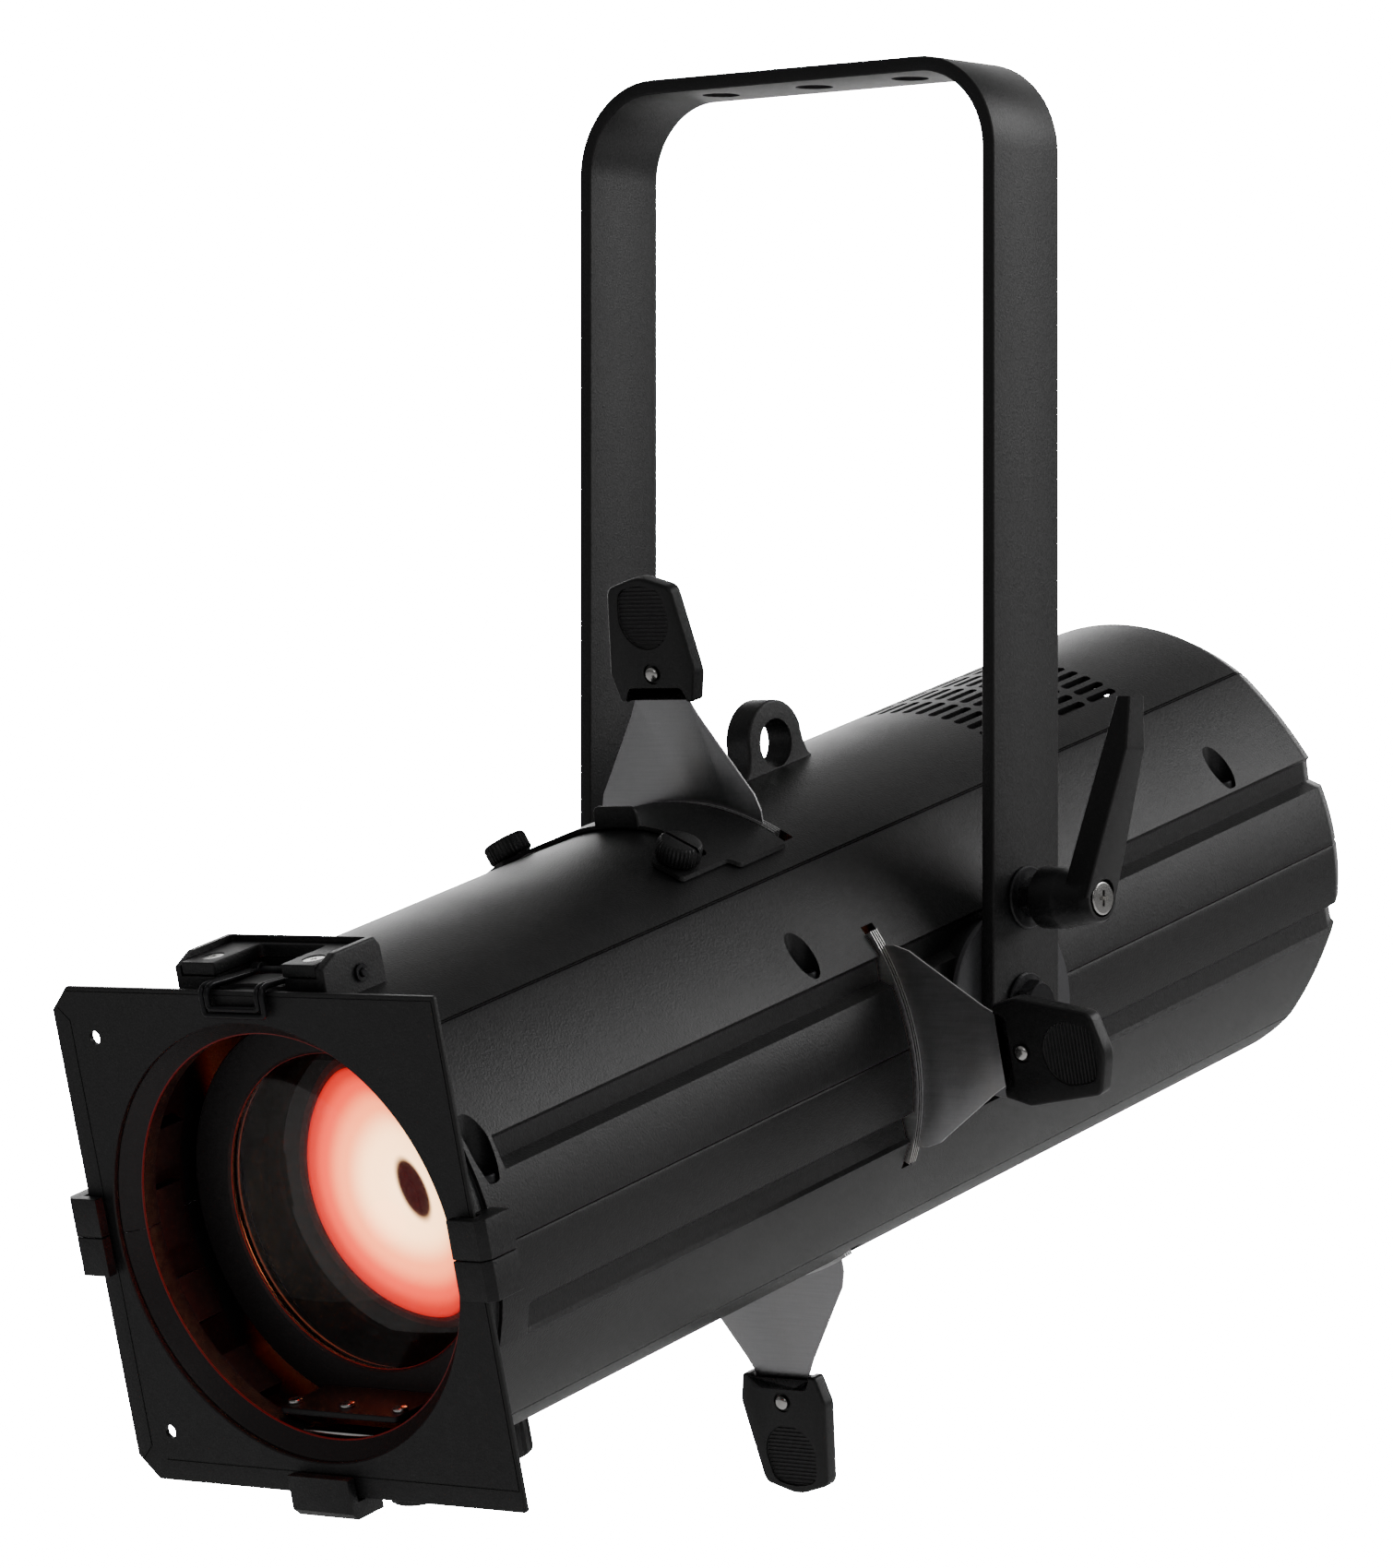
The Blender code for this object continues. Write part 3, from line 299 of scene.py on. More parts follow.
def node_group(name, inputs, outputs):
    """Empty shader group with float inputs {name: default} and the named float outputs."""
    group = bpy.data.node_groups.new(name, "ShaderNodeTree")
    for word, value in inputs.items():
        socket = group.interface.new_socket(name=word, in_out="INPUT", socket_type="NodeSocketFloat")
        socket.default_value = value
    for word in outputs:
        group.interface.new_socket(name=word, in_out="OUTPUT", socket_type="NodeSocketFloat")
    return group, group.nodes.new("NodeGroupInput"), group.nodes.new("NodeGroupOutput")


def add_node(tree, kind, **values):
    """New node with its properties and unlinked inputs set; an input is written in_Name_Of_Socket."""
    node = tree.nodes.new(kind)
    for word, value in values.items():
        if word.startswith("in_"):
            node.inputs[word[3:].replace("_", " ")].default_value = value
        else:
            setattr(node, word, value)
    return node


def maths(tree, operation, first, second=None, third=None):
    """Math node whose inputs are numbers or sockets; returns its output socket."""
    node = tree.nodes.new("ShaderNodeMath")
    node.operation = operation
    for slot, value in enumerate((first, second, third)):
        if value is None:
            continue
        if isinstance(value, (int, float)):
            node.inputs[slot].default_value = value
        else:
            tree.links.new(value, node.inputs[slot])
    return node.outputs[0]


def step_between(tree, value, low, high):
    """0 below low, 1 above high and smooth between, from a Map Range node."""
    node = add_node(tree, "ShaderNodeMapRange", interpolation_type="SMOOTHSTEP", clamp=True)
    tree.links.new(value, node.inputs["Value"])
    node.inputs["From Min"].default_value = low
    node.inputs["From Max"].default_value = high
    return node.outputs["Result"]


def build_grain_group():
    """Grain: two sizes of noise on object coordinates. Height drives bump; Mottle is a slow drift of tone."""
    group, given, put = node_group("fine_grain", {"Grain Scale": 1500.0, "Mottle Scale": 18.0},
                                   ["Height", "Mottle"])
    place = group.nodes.new("ShaderNodeTexCoord").outputs["Object"]
    fine = add_node(group, "ShaderNodeTexNoise", in_Detail=3.0, in_Roughness=0.6)
    slow = add_node(group, "ShaderNodeTexNoise", in_Detail=4.0, in_Roughness=0.55)
    for noise, word in ((fine, "Grain Scale"), (slow, "Mottle Scale")):
        group.links.new(place, noise.inputs["Vector"])
        group.links.new(given.outputs[word], noise.inputs["Scale"])
    group.links.new(fine.outputs["Fac"], put.inputs["Height"])
    group.links.new(slow.outputs["Fac"], put.inputs["Mottle"])
    return group


def build_wear_group():
    """Rub: sharp convex corners, broken up by noise. Dust: faces that look up, in thin uneven drifts."""
    group, given, put = node_group("rub_and_dust", {"Rub": 0.5, "Dust": 0.3}, ["Rubbed", "Dusty"])
    place = group.nodes.new("ShaderNodeTexCoord")
    corner = group.nodes.new("ShaderNodeNewGeometry").outputs["Pointiness"]
    chips = add_node(group, "ShaderNodeTexNoise", in_Scale=160.0, in_Detail=5.0, in_Roughness=0.7)
    drift = add_node(group, "ShaderNodeTexNoise", in_Scale=35.0, in_Detail=6.0, in_Roughness=0.7)
    for noise in (chips, drift):
        group.links.new(place.outputs["Object"], noise.inputs["Vector"])
    sharp = step_between(group, corner, 0.53, 0.62)
    broken = step_between(group, chips.outputs["Fac"], 0.42, 0.66)
    rubbed = maths(group, "MULTIPLY", maths(group, "MULTIPLY", sharp, broken), given.outputs["Rub"])
    split = group.nodes.new("ShaderNodeSeparateXYZ")
    group.links.new(place.outputs["Normal"], split.inputs[0])
    upward = step_between(group, split.outputs["Z"], 0.25, 1.0)
    patchy = step_between(group, drift.outputs["Fac"], 0.35, 0.75)
    dusty = maths(group, "MULTIPLY", maths(group, "MULTIPLY", upward, patchy), given.outputs["Dust"])
    group.links.new(rubbed, put.inputs["Rubbed"])
    group.links.new(dusty, put.inputs["Dusty"])
    return group


GRAIN = build_grain_group()
WEAR = build_wear_group()
print("node groups:", [group.name for group in bpy.data.node_groups])

# %% [markdown]
# ## Finishes
# The barrel and yoke are powder coated: near black, with a satin grain that scatters light at grazing
# angles. One function makes every such finish from its tone, gloss and grain. The base colour drifts a
# little with the mottle, lightens where it is rubbed and greys where it is dusty; roughness follows the
# same masks, and the grain's height goes to a Bump node.

# %% Coated and plain finishes


def mix_colour(tree, factor, first, second):
    """Mix node of two colours, each a tuple or a socket, by a number or socket."""
    node = tree.nodes.new("ShaderNodeMix")
    node.data_type = "RGBA"
    factor_socket, first_socket, second_socket = (node.inputs[n] for n in (0, 6, 7))
    for socket, value in ((factor_socket, factor), (first_socket, first), (second_socket, second)):
        if isinstance(value, bpy.types.NodeSocket):
            tree.links.new(value, socket)
        else:
            socket.default_value = (*value, 1.0) if isinstance(value, tuple) else value
    return node.outputs[2]


def new_finish(name):
    made = bpy.data.materials.new(name)
    made.use_nodes = True
    return made, made.node_tree, made.node_tree.nodes["Principled BSDF"]


def finish(name, tone, drift=0.25, rough=0.45, rough_drift=0.12, metallic=0.0, grain=1500.0, bump=0.06,
           depth=0.0004, mottle=18.0, rub=0.0, dust=0.0, rub_tone=(0.16, 0.16, 0.165),
           dust_tone=(0.2, 0.195, 0.18), coat=0.0, coat_rough=0.3):
    """Principled finish with the shared grain and wear."""
    made, tree, shader = new_finish(name)
    skin = add_node(tree, "ShaderNodeGroup", node_tree=GRAIN, in_Grain_Scale=grain, in_Mottle_Scale=mottle)
    wear = add_node(tree, "ShaderNodeGroup", node_tree=WEAR, in_Rub=rub, in_Dust=dust)
    dark = tuple(c * (1 - drift) for c in tone)
    light = tuple(min(1.0, c * (1 + drift)) for c in tone)
    colour = mix_colour(tree, skin.outputs["Mottle"], dark, light)
    if rub:
        colour = mix_colour(tree, wear.outputs["Rubbed"], colour, rub_tone)
    if dust:
        colour = mix_colour(tree, wear.outputs["Dusty"], colour, dust_tone)
    tree.links.new(colour, shader.inputs["Base Color"])
    spread = maths(tree, "MULTIPLY_ADD", skin.outputs["Mottle"], rough_drift, rough - rough_drift / 2)
    tree.links.new(maths(tree, "MULTIPLY_ADD", wear.outputs["Dusty"], 0.3, spread),
                   shader.inputs["Roughness"])
    relief = add_node(tree, "ShaderNodeBump", in_Strength=bump, in_Distance=depth)
    tree.links.new(skin.outputs["Height"], relief.inputs["Height"])
    tree.links.new(relief.outputs["Normal"], shader.inputs["Normal"])
    shader.inputs["Metallic"].default_value = metallic
    shader.inputs["Coat Weight"].default_value = coat
    shader.inputs["Coat Roughness"].default_value = coat_rough
    return made


CAST_COAT = finish("cast_powder_coat", (0.0095, 0.0095, 0.0098), rough=0.42, bump=0.5, grain=1150.0, rub=0.05,
                   dust=0.05)
SHEET_COAT = finish("sheet_powder_coat", (0.0080, 0.0080, 0.0083), rough=0.46, bump=0.35, grain=1500.0,
                    rub=0.03, dust=0.04)
# The yoke is coated near black like the barrel; its lighter tone here is painted light, for the brighter light
# that falls on it.
STRAP_COAT_PAINTED_LIGHTER = finish("strap_coat_painted_lighter", (0.0125, 0.0125, 0.0128), rough=0.42, bump=0.35, grain=1300.0,
                    rub=0.05, dust=0.03)
MOULDED = finish("moulded_black", (0.0060, 0.0060, 0.0062), rough=0.38, bump=0.25, grain=2200.0, rub=0.04)
BLACKENED = finish("blackened_steel", (0.022, 0.022, 0.024), rough=0.34, metallic=0.55, bump=0.12, rub=0.2,
                   rub_tone=(0.3, 0.3, 0.3))
INNER_BLACK = finish("matt_inside", (0.0065, 0.0065, 0.0068), rough=0.5, bump=0.25, grain=900.0)
FRICTION_GREY = finish("friction_disc_grey", (0.085, 0.085, 0.09), rough=0.5, metallic=0.3, bump=0.2,
                       grain=900.0)
PLAIN_ALUMINIUM = finish("plain_aluminium", (0.6, 0.6, 0.62), rough=0.35, metallic=1.0, bump=0.1, drift=0.06)
SOLDER_MASK = finish("solder_mask_white", (0.72, 0.72, 0.68), rough=0.5, bump=0.05, drift=0.04)
PRESSED_STEEL = finish("nickel_plate", (0.68, 0.67, 0.65), rough=0.2, metallic=1.0, bump=0.03, drift=0.06,
                       rough_drift=0.08)
print("finishes:", [m.name for m in bpy.data.materials][-10:])

# %% [markdown]
# Shutter blades are cold-rolled stainless sheet. Rolling leaves long fine scratches in one direction, so
# the noise is stretched with a Mapping node: hundreds of times finer across the scratches than along them.
# Years of heat by the gate also tint the blade in soft clouds.

# %% Rolled sheet steel


def rolled_steel(name, tone, stretch, rough=0.34):
    """Metal whose colour and roughness follow noise stretched along one direction."""
    made, tree, shader = new_finish(name)
    place = tree.nodes.new("ShaderNodeTexCoord").outputs["Object"]
    lengthen = add_node(tree, "ShaderNodeMapping", in_Scale=stretch)
    tree.links.new(place, lengthen.inputs["Vector"])
    lines = add_node(tree, "ShaderNodeTexNoise", in_Scale=1.0, in_Detail=3.0, in_Roughness=0.6)
    clouds = add_node(tree, "ShaderNodeTexNoise", in_Scale=22.0, in_Detail=3.0)
    tree.links.new(lengthen.outputs[0], lines.inputs["Vector"])
    tree.links.new(place, clouds.inputs["Vector"])
    dark, light = tuple(c * 0.86 for c in tone), tuple(c * 1.1 for c in tone)
    scratched = mix_colour(tree, lines.outputs["Fac"], dark, light)
    tinted = mix_colour(tree, step_between(tree, clouds.outputs["Fac"], 0.45, 0.8), scratched,
                        (tone[0] * 0.9, tone[1] * 0.86, tone[2] * 0.8))
    tree.links.new(tinted, shader.inputs["Base Color"])
    tree.links.new(maths(tree, "MULTIPLY_ADD", lines.outputs["Fac"], 0.16, rough - 0.08),
                   shader.inputs["Roughness"])
    relief = add_node(tree, "ShaderNodeBump", in_Strength=0.12, in_Distance=0.0002)
    tree.links.new(lines.outputs["Fac"], relief.inputs["Height"])
    tree.links.new(relief.outputs["Normal"], shader.inputs["Normal"])
    shader.inputs["Metallic"].default_value = 1.0
    return made


BLADE_STEEL = rolled_steel("stainless_blade", (0.42, 0.42, 0.43), (60.0, 1400.0, 1400.0))
GUIDE_STEEL = rolled_steel("bright_guide_steel", (0.85, 0.85, 0.85), (40.0, 900.0, 900.0), rough=0.42)
print("steel finishes ready")

# %% [markdown]
# ## The lens glass
# The front lens is clear glass that bends what is seen through it, so it is a plain transmissive shader
# with a slight smear. The second lens is lit from behind by the light engine. It carries that as emission,
# which depends on the distance from the barrel's axis: warm white, salmon, then a saturated red at the rim.
# Past a slanted line it turns dark: painted shade, fixed on the glass.

# %% Glass and glow


def lens_glass(name):
    made, tree, shader = new_finish(name)
    smear = add_node(tree, "ShaderNodeTexNoise", in_Scale=30.0, in_Detail=4.0)
    tree.links.new(tree.nodes.new("ShaderNodeTexCoord").outputs["Object"], smear.inputs["Vector"])
    tree.links.new(maths(tree, "MULTIPLY_ADD", smear.outputs["Fac"], 0.03, 0.0), shader.inputs["Roughness"])
    shader.inputs["Base Color"].default_value = (0.97, 0.96, 0.96, 1.0)
    shader.inputs["Transmission Weight"].default_value = 1.0
    shader.inputs["IOR"].default_value = 1.45
    return made


def axis_distance(tree, centre):
    """Distance of a point from the barrel's axis, in metres: the length of what is left of its offset from a
    centre on the axis once the part along the axis is taken away."""
    place = tree.nodes.new("ShaderNodeTexCoord").outputs["Object"]
    offset = add_node(tree, "ShaderNodeVectorMath", operation="SUBTRACT")
    tree.links.new(place, offset.inputs[0])
    offset.inputs[1].default_value = centre
    lined = add_node(tree, "ShaderNodeVectorMath", operation="PROJECT")
    tree.links.new(offset.outputs[0], lined.inputs[0])
    lined.inputs[1].default_value = ALONG
    away = add_node(tree, "ShaderNodeVectorMath", operation="DISTANCE")
    tree.links.new(offset.outputs[0], away.inputs[0])
    tree.links.new(lined.outputs[0], away.inputs[1])
    return away.outputs["Value"]


def colour_steps(tree, value, stops):
    """Colour Ramp through (position, colour) stops."""
    ramp = tree.nodes.new("ShaderNodeValToRGB")
    ramp.color_ramp.interpolation = "EASE"
    places = ramp.color_ramp.elements
    places[0].color, places[1].color = (*stops[0][1], 1.0), (*stops[-1][1], 1.0)
    for at, colour in stops[1:-1]:
        places.new(at).color = (*colour, 1.0)
    tree.links.new(value, ramp.inputs["Fac"])
    return ramp.outputs["Color"]


GLOW_REACH = 54.0 * MM
GLOW_STOPS = [(0.0, (1.0, 0.78, 0.44)), (0.40, (0.95, 0.52, 0.24)), (0.62, (0.62, 0.14, 0.05)),
              (0.80, (0.38, 0.022, 0.008)), (0.93, (0.20, 0.004, 0.002)), (1.0, (0.08, 0.0, 0.0))]
PAINTED_SHADE_LINE = (0.95, 0.31, -15.0)
PAINTED_SHADE_TONE = (0.0045, 0.0004, 0.0004)


def beyond_painted_shade_line(tree):
    """1 on the far side of a slanted line across the lens: painted shade, fixed on the glass from every view."""
    across, up, at = PAINTED_SHADE_LINE
    place = tree.nodes.new("ShaderNodeTexCoord").outputs["Object"]
    offset = add_node(tree, "ShaderNodeVectorMath", operation="SUBTRACT")
    tree.links.new(place, offset.inputs[0])
    offset.inputs[1].default_value = tuple(PIVOT)
    lined = add_node(tree, "ShaderNodeVectorMath", operation="DOT_PRODUCT")
    tree.links.new(offset.outputs[0], lined.inputs[0])
    lined.inputs[1].default_value = tuple(ACROSS * across + UP * up)
    return step_between(tree, lined.outputs["Value"], (at - 0.5) * MM, (at + 0.5) * MM)


def glowing_glass(name, strength):
    made, tree, shader = new_finish(name)
    reach = maths(tree, "DIVIDE", axis_distance(tree, tuple(PIVOT)), GLOW_REACH)
    glow = colour_steps(tree, reach, GLOW_STOPS)
    shaded = mix_colour(tree, beyond_painted_shade_line(tree), glow, PAINTED_SHADE_TONE)
    tree.links.new(shaded, shader.inputs["Emission Color"])
    shader.inputs["Emission Strength"].default_value = strength
    shader.inputs["Base Color"].default_value = (0.25, 0.02, 0.02, 1.0)
    shader.inputs["Roughness"].default_value = 0.08
    return made


CLEAR_GLASS = lens_glass("clear_lens_glass")
GLOW_GLASS = glowing_glass("lit_lens_glass", 7.0)
SCREEN_GLASS = finish("screen_glass", (0.012, 0.016, 0.03), rough=0.08, bump=0.0, drift=0.1, rough_drift=0.03,
                      coat=0.6, coat_rough=0.05)
print("glass ready")

# %% [markdown]
# ## Dressing a piece
# Each new piece rides on the CAD body that it moves with, names the CAD node that it stands for, and takes a
# finish.

# %% Dress helper
NODES_OF_BODY = frame["record"]["behaviour"]["bodies"]
BODY_OF_NODE = {node: body for body, nodes in NODES_OF_BODY.items() for node in nodes}


def dress(piece, paint, node, replaces=True, body=None):
    """Gives a piece its finish and ties it to the CAD: the body, and the node that it replaces."""
    piece.data.materials.clear()
    piece.data.materials.append(paint)
    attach(piece, body or BODY_OF_NODE[node])
    if replaces:
        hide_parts(node)
    return piece


def extra(piece, paint, node):
    """A small piece that the CAD leaves out: it rides and is finished like the node that it sits on."""
    return dress(piece, paint, node, replaces=False)


# %% [markdown]
# ## The yoke
# The yoke is one flat bar, 41.5 by 5.8 mm, bent to a U over two 37 mm corners. Its surface is a rounded
# rectangle carried along the U. Below the tilt axis the bar's ends are round, so the width there follows a
# half circle: half the depth times cos t at half the depth times sin t below the axis.

# %% Yoke strap
yoke_low, yoke_high = (np.array(corner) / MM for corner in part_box("yoke_strap"))
STRAP_HALF = yoke_high[0]
STRAP_DEPTH = yoke_high[1] - yoke_low[1]
STRAP_BAR = 5.8
STRAP_CORNER = 37.0
PIVOT_Z = PIVOT[2] / MM
LOCK_Z = JOINTS["lock_lever_turn"]["pos_m"][2] / MM


def yoke_path():
    """Middle line of the bar with its outward normals and half widths, from one end round to the other."""
    bend = STRAP_CORNER - STRAP_BAR / 2
    middle = STRAP_HALF - STRAP_BAR / 2
    tip = np.radians(np.linspace(90, 0, 15))
    straight = np.linspace(PIVOT_Z, -STRAP_CORNER, 14)[1:]
    corner = np.radians(np.linspace(0, 90, 17))[1:]
    arm = [(middle, PIVOT_Z - STRAP_DEPTH / 2 * math.sin(t), 1.0, 0.0, STRAP_DEPTH / 2 * math.cos(t))
           for t in tip]
    arm += [(middle, z, 1.0, 0.0, STRAP_DEPTH / 2) for z in straight]
    arm += [(STRAP_HALF - STRAP_CORNER + bend * math.cos(t), -STRAP_CORNER + bend * math.sin(t), math.cos(t),
             math.sin(t), STRAP_DEPTH / 2) for t in corner]
    arm = np.array(arm)
    across = np.linspace(arm[-1, 0], -arm[-1, 0], 12)[1:-1]
    top = np.column_stack([across, np.full(10, arm[-1, 1]), np.zeros(10), np.ones(10),
                           np.full(10, STRAP_DEPTH / 2)])
    other = arm[::-1] * [-1, 1, -1, 1, 1]
    return np.concatenate([arm, top, other])


def yoke_strap(edge=0.7):
    path = yoke_path()
    a = np.radians(np.linspace(0, 360, 24, endpoint=False) + 7.5)
    side, face = np.cos(a), np.sin(a)
    wide = np.maximum(path[:, 4:5] - edge, 0.0)
    y = np.sign(side) * wide + edge * side * np.minimum(1.0, path[:, 4:5] / edge)
    lift = np.broadcast_to(np.sign(face) * (STRAP_BAR / 2 - edge) + edge * face, y.shape)
    grid = np.stack([path[:, 0:1] + path[:, 2:3] * lift, y, path[:, 1:2] + path[:, 3:4] * lift], -1)
    strap = surface("yoke", grid, place=on_yoke)
    holes = [spun(f"hole_{n}", [(0, -20), (7.5, -20), (7.5, 20), (0, 20)], (x, 0, 0), "u", 64, on_yoke)
             for n, x in enumerate((-48, 0, 48))]
    return carve(strap, holes)


# The yoke's lighter coat tone is painted light.
dress(yoke_strap(), STRAP_COAT_PAINTED_LIGHTER, "yoke_strap")
print("yoke strap:", STRAP_HALF * 2, "mm wide and", STRAP_DEPTH.round(1), "mm deep")

# %% [markdown]
# ## Hex bolts and washers
# A hex head is a grid too: round the axis its radius is the flat distance over the cosine of the angle from
# the nearest flat, and near the top it may not pass a cone, which makes the bright curved chamfer on each
# corner.

# %% Tilt bolts


def hexagon(name, across, low, high, chamfer=1.3, centre=(0, 0, 0), place=on_yoke, way=1):
    """Hex prism along x with a chamfered outer end."""
    angle = np.linspace(0, 2 * np.pi, 96, endpoint=False)
    flat = across / 2 / np.cos((angle + np.pi / 6) % (np.pi / 3) - np.pi / 6)
    inner = across / 2 * 0.97
    heights = [(low, 99.0), (high - chamfer, 99.0)]
    heights += [(high - chamfer * (1 - k / 5), across / 2 / math.cos(math.pi / 6) - (across / 2 / math.cos(
        math.pi / 6) - inner) * k / 5) for k in range(1, 6)]
    grid = np.stack([np.stack([np.full(96, way * h), np.minimum(flat, cap) * np.cos(angle),
                               np.minimum(flat, cap) * np.sin(angle)], -1) for h, cap in heights])
    return surface(name, grid + np.asarray(centre, float), place=place, crease=math.radians(20))


def washer(name, radius, low, high, centre, way, hole=2.0):
    profile = [(hole, low), (radius - 0.5, low), (radius, low + 0.4), (radius, high - 0.5),
               (radius - 0.6, high), (hole, high)]
    return spun(name, [(r, way * h) for r, h in profile], centre, "x", 64, on_yoke, wrap=True)


def side_bolt(name, node, z, way, head, across):
    """Washer outside the strap, a hex head on it and the shank that shows between strap and barrel."""
    shank = 6.0 if "pivot" in node else 3.0
    start = 82.0 if "pivot" in node else 96.4
    centre = (0, 0, z)
    bodies = [washer(name + "_washer", 12.1, 105.3, 106.8, centre, way, shank + 0.2),
              hexagon(name + "_head", across, 106.9, head, centre=centre, way=way),
              spun(name + "_shank", [(0, way * start), (shank, way * start), (shank, way * 106.85),
                                     (0, way * 106.85)],
                   centre, "x", 32, on_yoke)]
    dress(merged(name, bodies), BLACKENED, node)


for side, way in (("right", 1), ("left", -1)):
    side_bolt(f"pivot_bolt_{side}_piece", f"pivot_bolt_{side}", PIVOT_Z, way, 112.6, 16.3)
side_bolt("lock_stud_piece", "lock_stud_right", LOCK_Z, 1, 113.6, 13.2)
side_bolt("lock_bolt_piece", "lock_bolt_left", LOCK_Z, -1, 112.6, 13.2)
print("four side bolts on the strap")

# %% [markdown]
# ## The lock lever
# The lever is moulded: a round hub, a cone, and a square arm that narrows as it leans outwards and then
# stands straight for its last third. The hub is turned; the arm is a rounded square carried up it, whose
# two faces lean at different rates, so every row of the grid has its own centre and size.

# %% Lock lever


def lever_arm():
    z = np.concatenate([np.linspace(0, 54, 10), np.linspace(55.5, 58.5, 5), np.linspace(60, 77, 6)])
    t = np.clip(z / 57, 0, 1)
    outer = 141.0 + 16.0 * t + 0.6 * np.clip((z - 57) / 20, 0, 1)
    inner = 128.5 + 23.0 * z / 77.0
    half = np.interp(z, [0, 20, 56, 77], [9.6, 8.6, 6.2, 4.8])
    edge = 0.9
    a = np.radians(np.linspace(0, 360, 32, endpoint=False) + 5.6)
    middle, depth = (outer + inner)[:, None] / 2, (outer - inner)[:, None] / 2
    x = middle + np.sign(np.cos(a)) * (depth - edge) + edge * np.cos(a)
    y = np.sign(np.sin(a)) * (half[:, None] - edge) + edge * np.sin(a)
    grid = np.stack([x, y, np.broadcast_to(z[:, None], x.shape) + LOCK_Z], -1)
    return surface("lever_arm", grid, place=on_yoke)


def lever():
    hub = [(0, 113.9), (11.2, 113.9), (12.0, 114.7), (12.0, 124.6), (11.7, 125.4), (11.3, 126.6),
           (10.0, 136.4), (9.4, 140.2), (8.6, 141.2), (0, 141.2)]
    piece = spun("lever_hub", hub, (0, 0, LOCK_Z), "x", 96, on_yoke)
    seat = spun("lever_seat", [(0, 135.9), (7.3, 135.9), (7.3, 150), (0, 150)], (0, 0, LOCK_Z), "x", 64,
                on_yoke)
    return carve(carve(piece, [lever_arm()], "UNION"), [seat])


def cross_screw(name, radius, low, high, place, centre=(0, 0, 0), axis="x", dome=0.5, size=0.62):
    """Screw head with a rounded rim and a cross recess: a turned head with two bars cut out of it."""
    k = np.linspace(0, 1, 7)
    crown = [(radius * (1 - 0.12 * (1 - math.cos(math.pi / 2 * t))),
              high - dome + dome * math.sin(math.pi / 2 * t))
             for t in k]
    head = spun(name, [(0, low), (radius * 0.94, low), (radius, low + 0.3), *crown, (0, high + dome * 0.3)],
                centre, axis, 64, place)
    reach, width, deep = radius * size, radius * 0.13, high - radius * 0.34
    order = {"x": [2, 0, 1], "b": [0, 2, 1], "u": [0, 1, 2]}[axis]
    bars = []
    for n, (p, q) in enumerate(((reach, width), (width, reach))):
        corner = np.array([[-p, -q], [p, -q], [p, q], [-p, q]])
        rings = np.stack([np.column_stack([corner * s, np.full(4, h)])
                          for s, h in ((0.6, deep), (1.0, high + 3))])
        bars.append(surface(f"bar_{n}", swap(rings, order) + np.asarray(centre, float), place=place))
    return carve(head, bars)


dress(lever(), MOULDED, "lock_lever")
dress(cross_screw("lever_screw_piece", 6.5, 136.2, 141.9, on_yoke, (0, 0, LOCK_Z)), PRESSED_STEEL,
      "lever_screw")
print("lock lever and its screw")

# %% [markdown]
# ## The barrel casting
# The barrel is two castings that meet at mid height. One cross-section, run along the barrel, gives each
# half: a round top, a flatter side panel that starts at a double line 40 degrees down from the top, a
# V-shaped channel with a lit step under it, and a round lower panel. The inside is a rounder, smaller
# curve. The section is one closed line, so each half is a profile carried along a straight path, with its
# own section at each station.

# %% Cross-section of the casting
BODY_R = 95.5
SEAM = 0.15
RING_R = 94.0
CHANNEL = (24.7, 37.0, 86.3)
GROOVE_ANGLE = 49.84
FRONT_B, REAR_B, CHAMFER_B = -312.4, 238.4, 229.0
INNER_SIDE, INNER_TOP = 83.5, 92.5


def polar(radius, degrees):
    return np.stack([radius * np.cos(np.radians(degrees)), radius * np.sin(np.radians(degrees))], -1)


def outer_side(channel=1.0, radius=BODY_R, groove=1.0):
    """Right side of the outer skin from the seam to the top. channel is the depth of the V as a share."""
    low, high, floor = CHANNEL
    low_angle = math.degrees(math.asin(low / BODY_R))
    high_angle = math.degrees(math.asin(high / BODY_R))
    seam_angle = math.degrees(math.asin(SEAM / BODY_R))
    lower = polar(radius - np.array([0.5, 0.12, 0, *np.zeros(14)]),
                  np.array([seam_angle, seam_angle + 0.3, seam_angle + 0.8,
                            *np.linspace(1.5, low_angle - 0.5, 14)]))
    start, end = polar(radius, high_angle), polar(radius, GROOVE_ANGLE)
    v_deep = np.array([[floor, low + 2.6], [floor + 0.35, high - 1.6]])
    v_lip = np.array([polar(radius, low_angle)])
    v_flat = np.array([polar(radius, low_angle + 1.4), polar(radius, high_angle - 0.9)])
    v = v_deep * channel + v_flat * (1 - channel)
    t = np.linspace(0, 1, 22)[:, None]
    bulge = (start + end) / np.linalg.norm(start + end) * 1.4
    panel = start + (end - start) * t + bulge * 4 * t * (1 - t)
    ease = (v[1] + start) / 2 + (start - v[1]) * 0.3
    dips = [(0.35, 0.0), (0.55, 0.75), (0.95, 0.8), (1.1, 0.1), (1.3, 0.12), (1.45, 0.75), (1.7, 0.7),
            (1.95, 0.0)]
    line = np.array([polar(radius - dip * groove, GROOVE_ANGLE + away * 0.62) for away, dip in dips])
    top = polar(radius, np.linspace(GROOVE_ANGLE + 1.6, 90, 38))
    return np.concatenate([lower, v_lip, v, ease[None], panel, line, top])


def both_sides(side):
    """The right side from the seam up, then its mirror image down to the left seam."""
    return np.concatenate([side, side[-2::-1] * [-1, 1]])


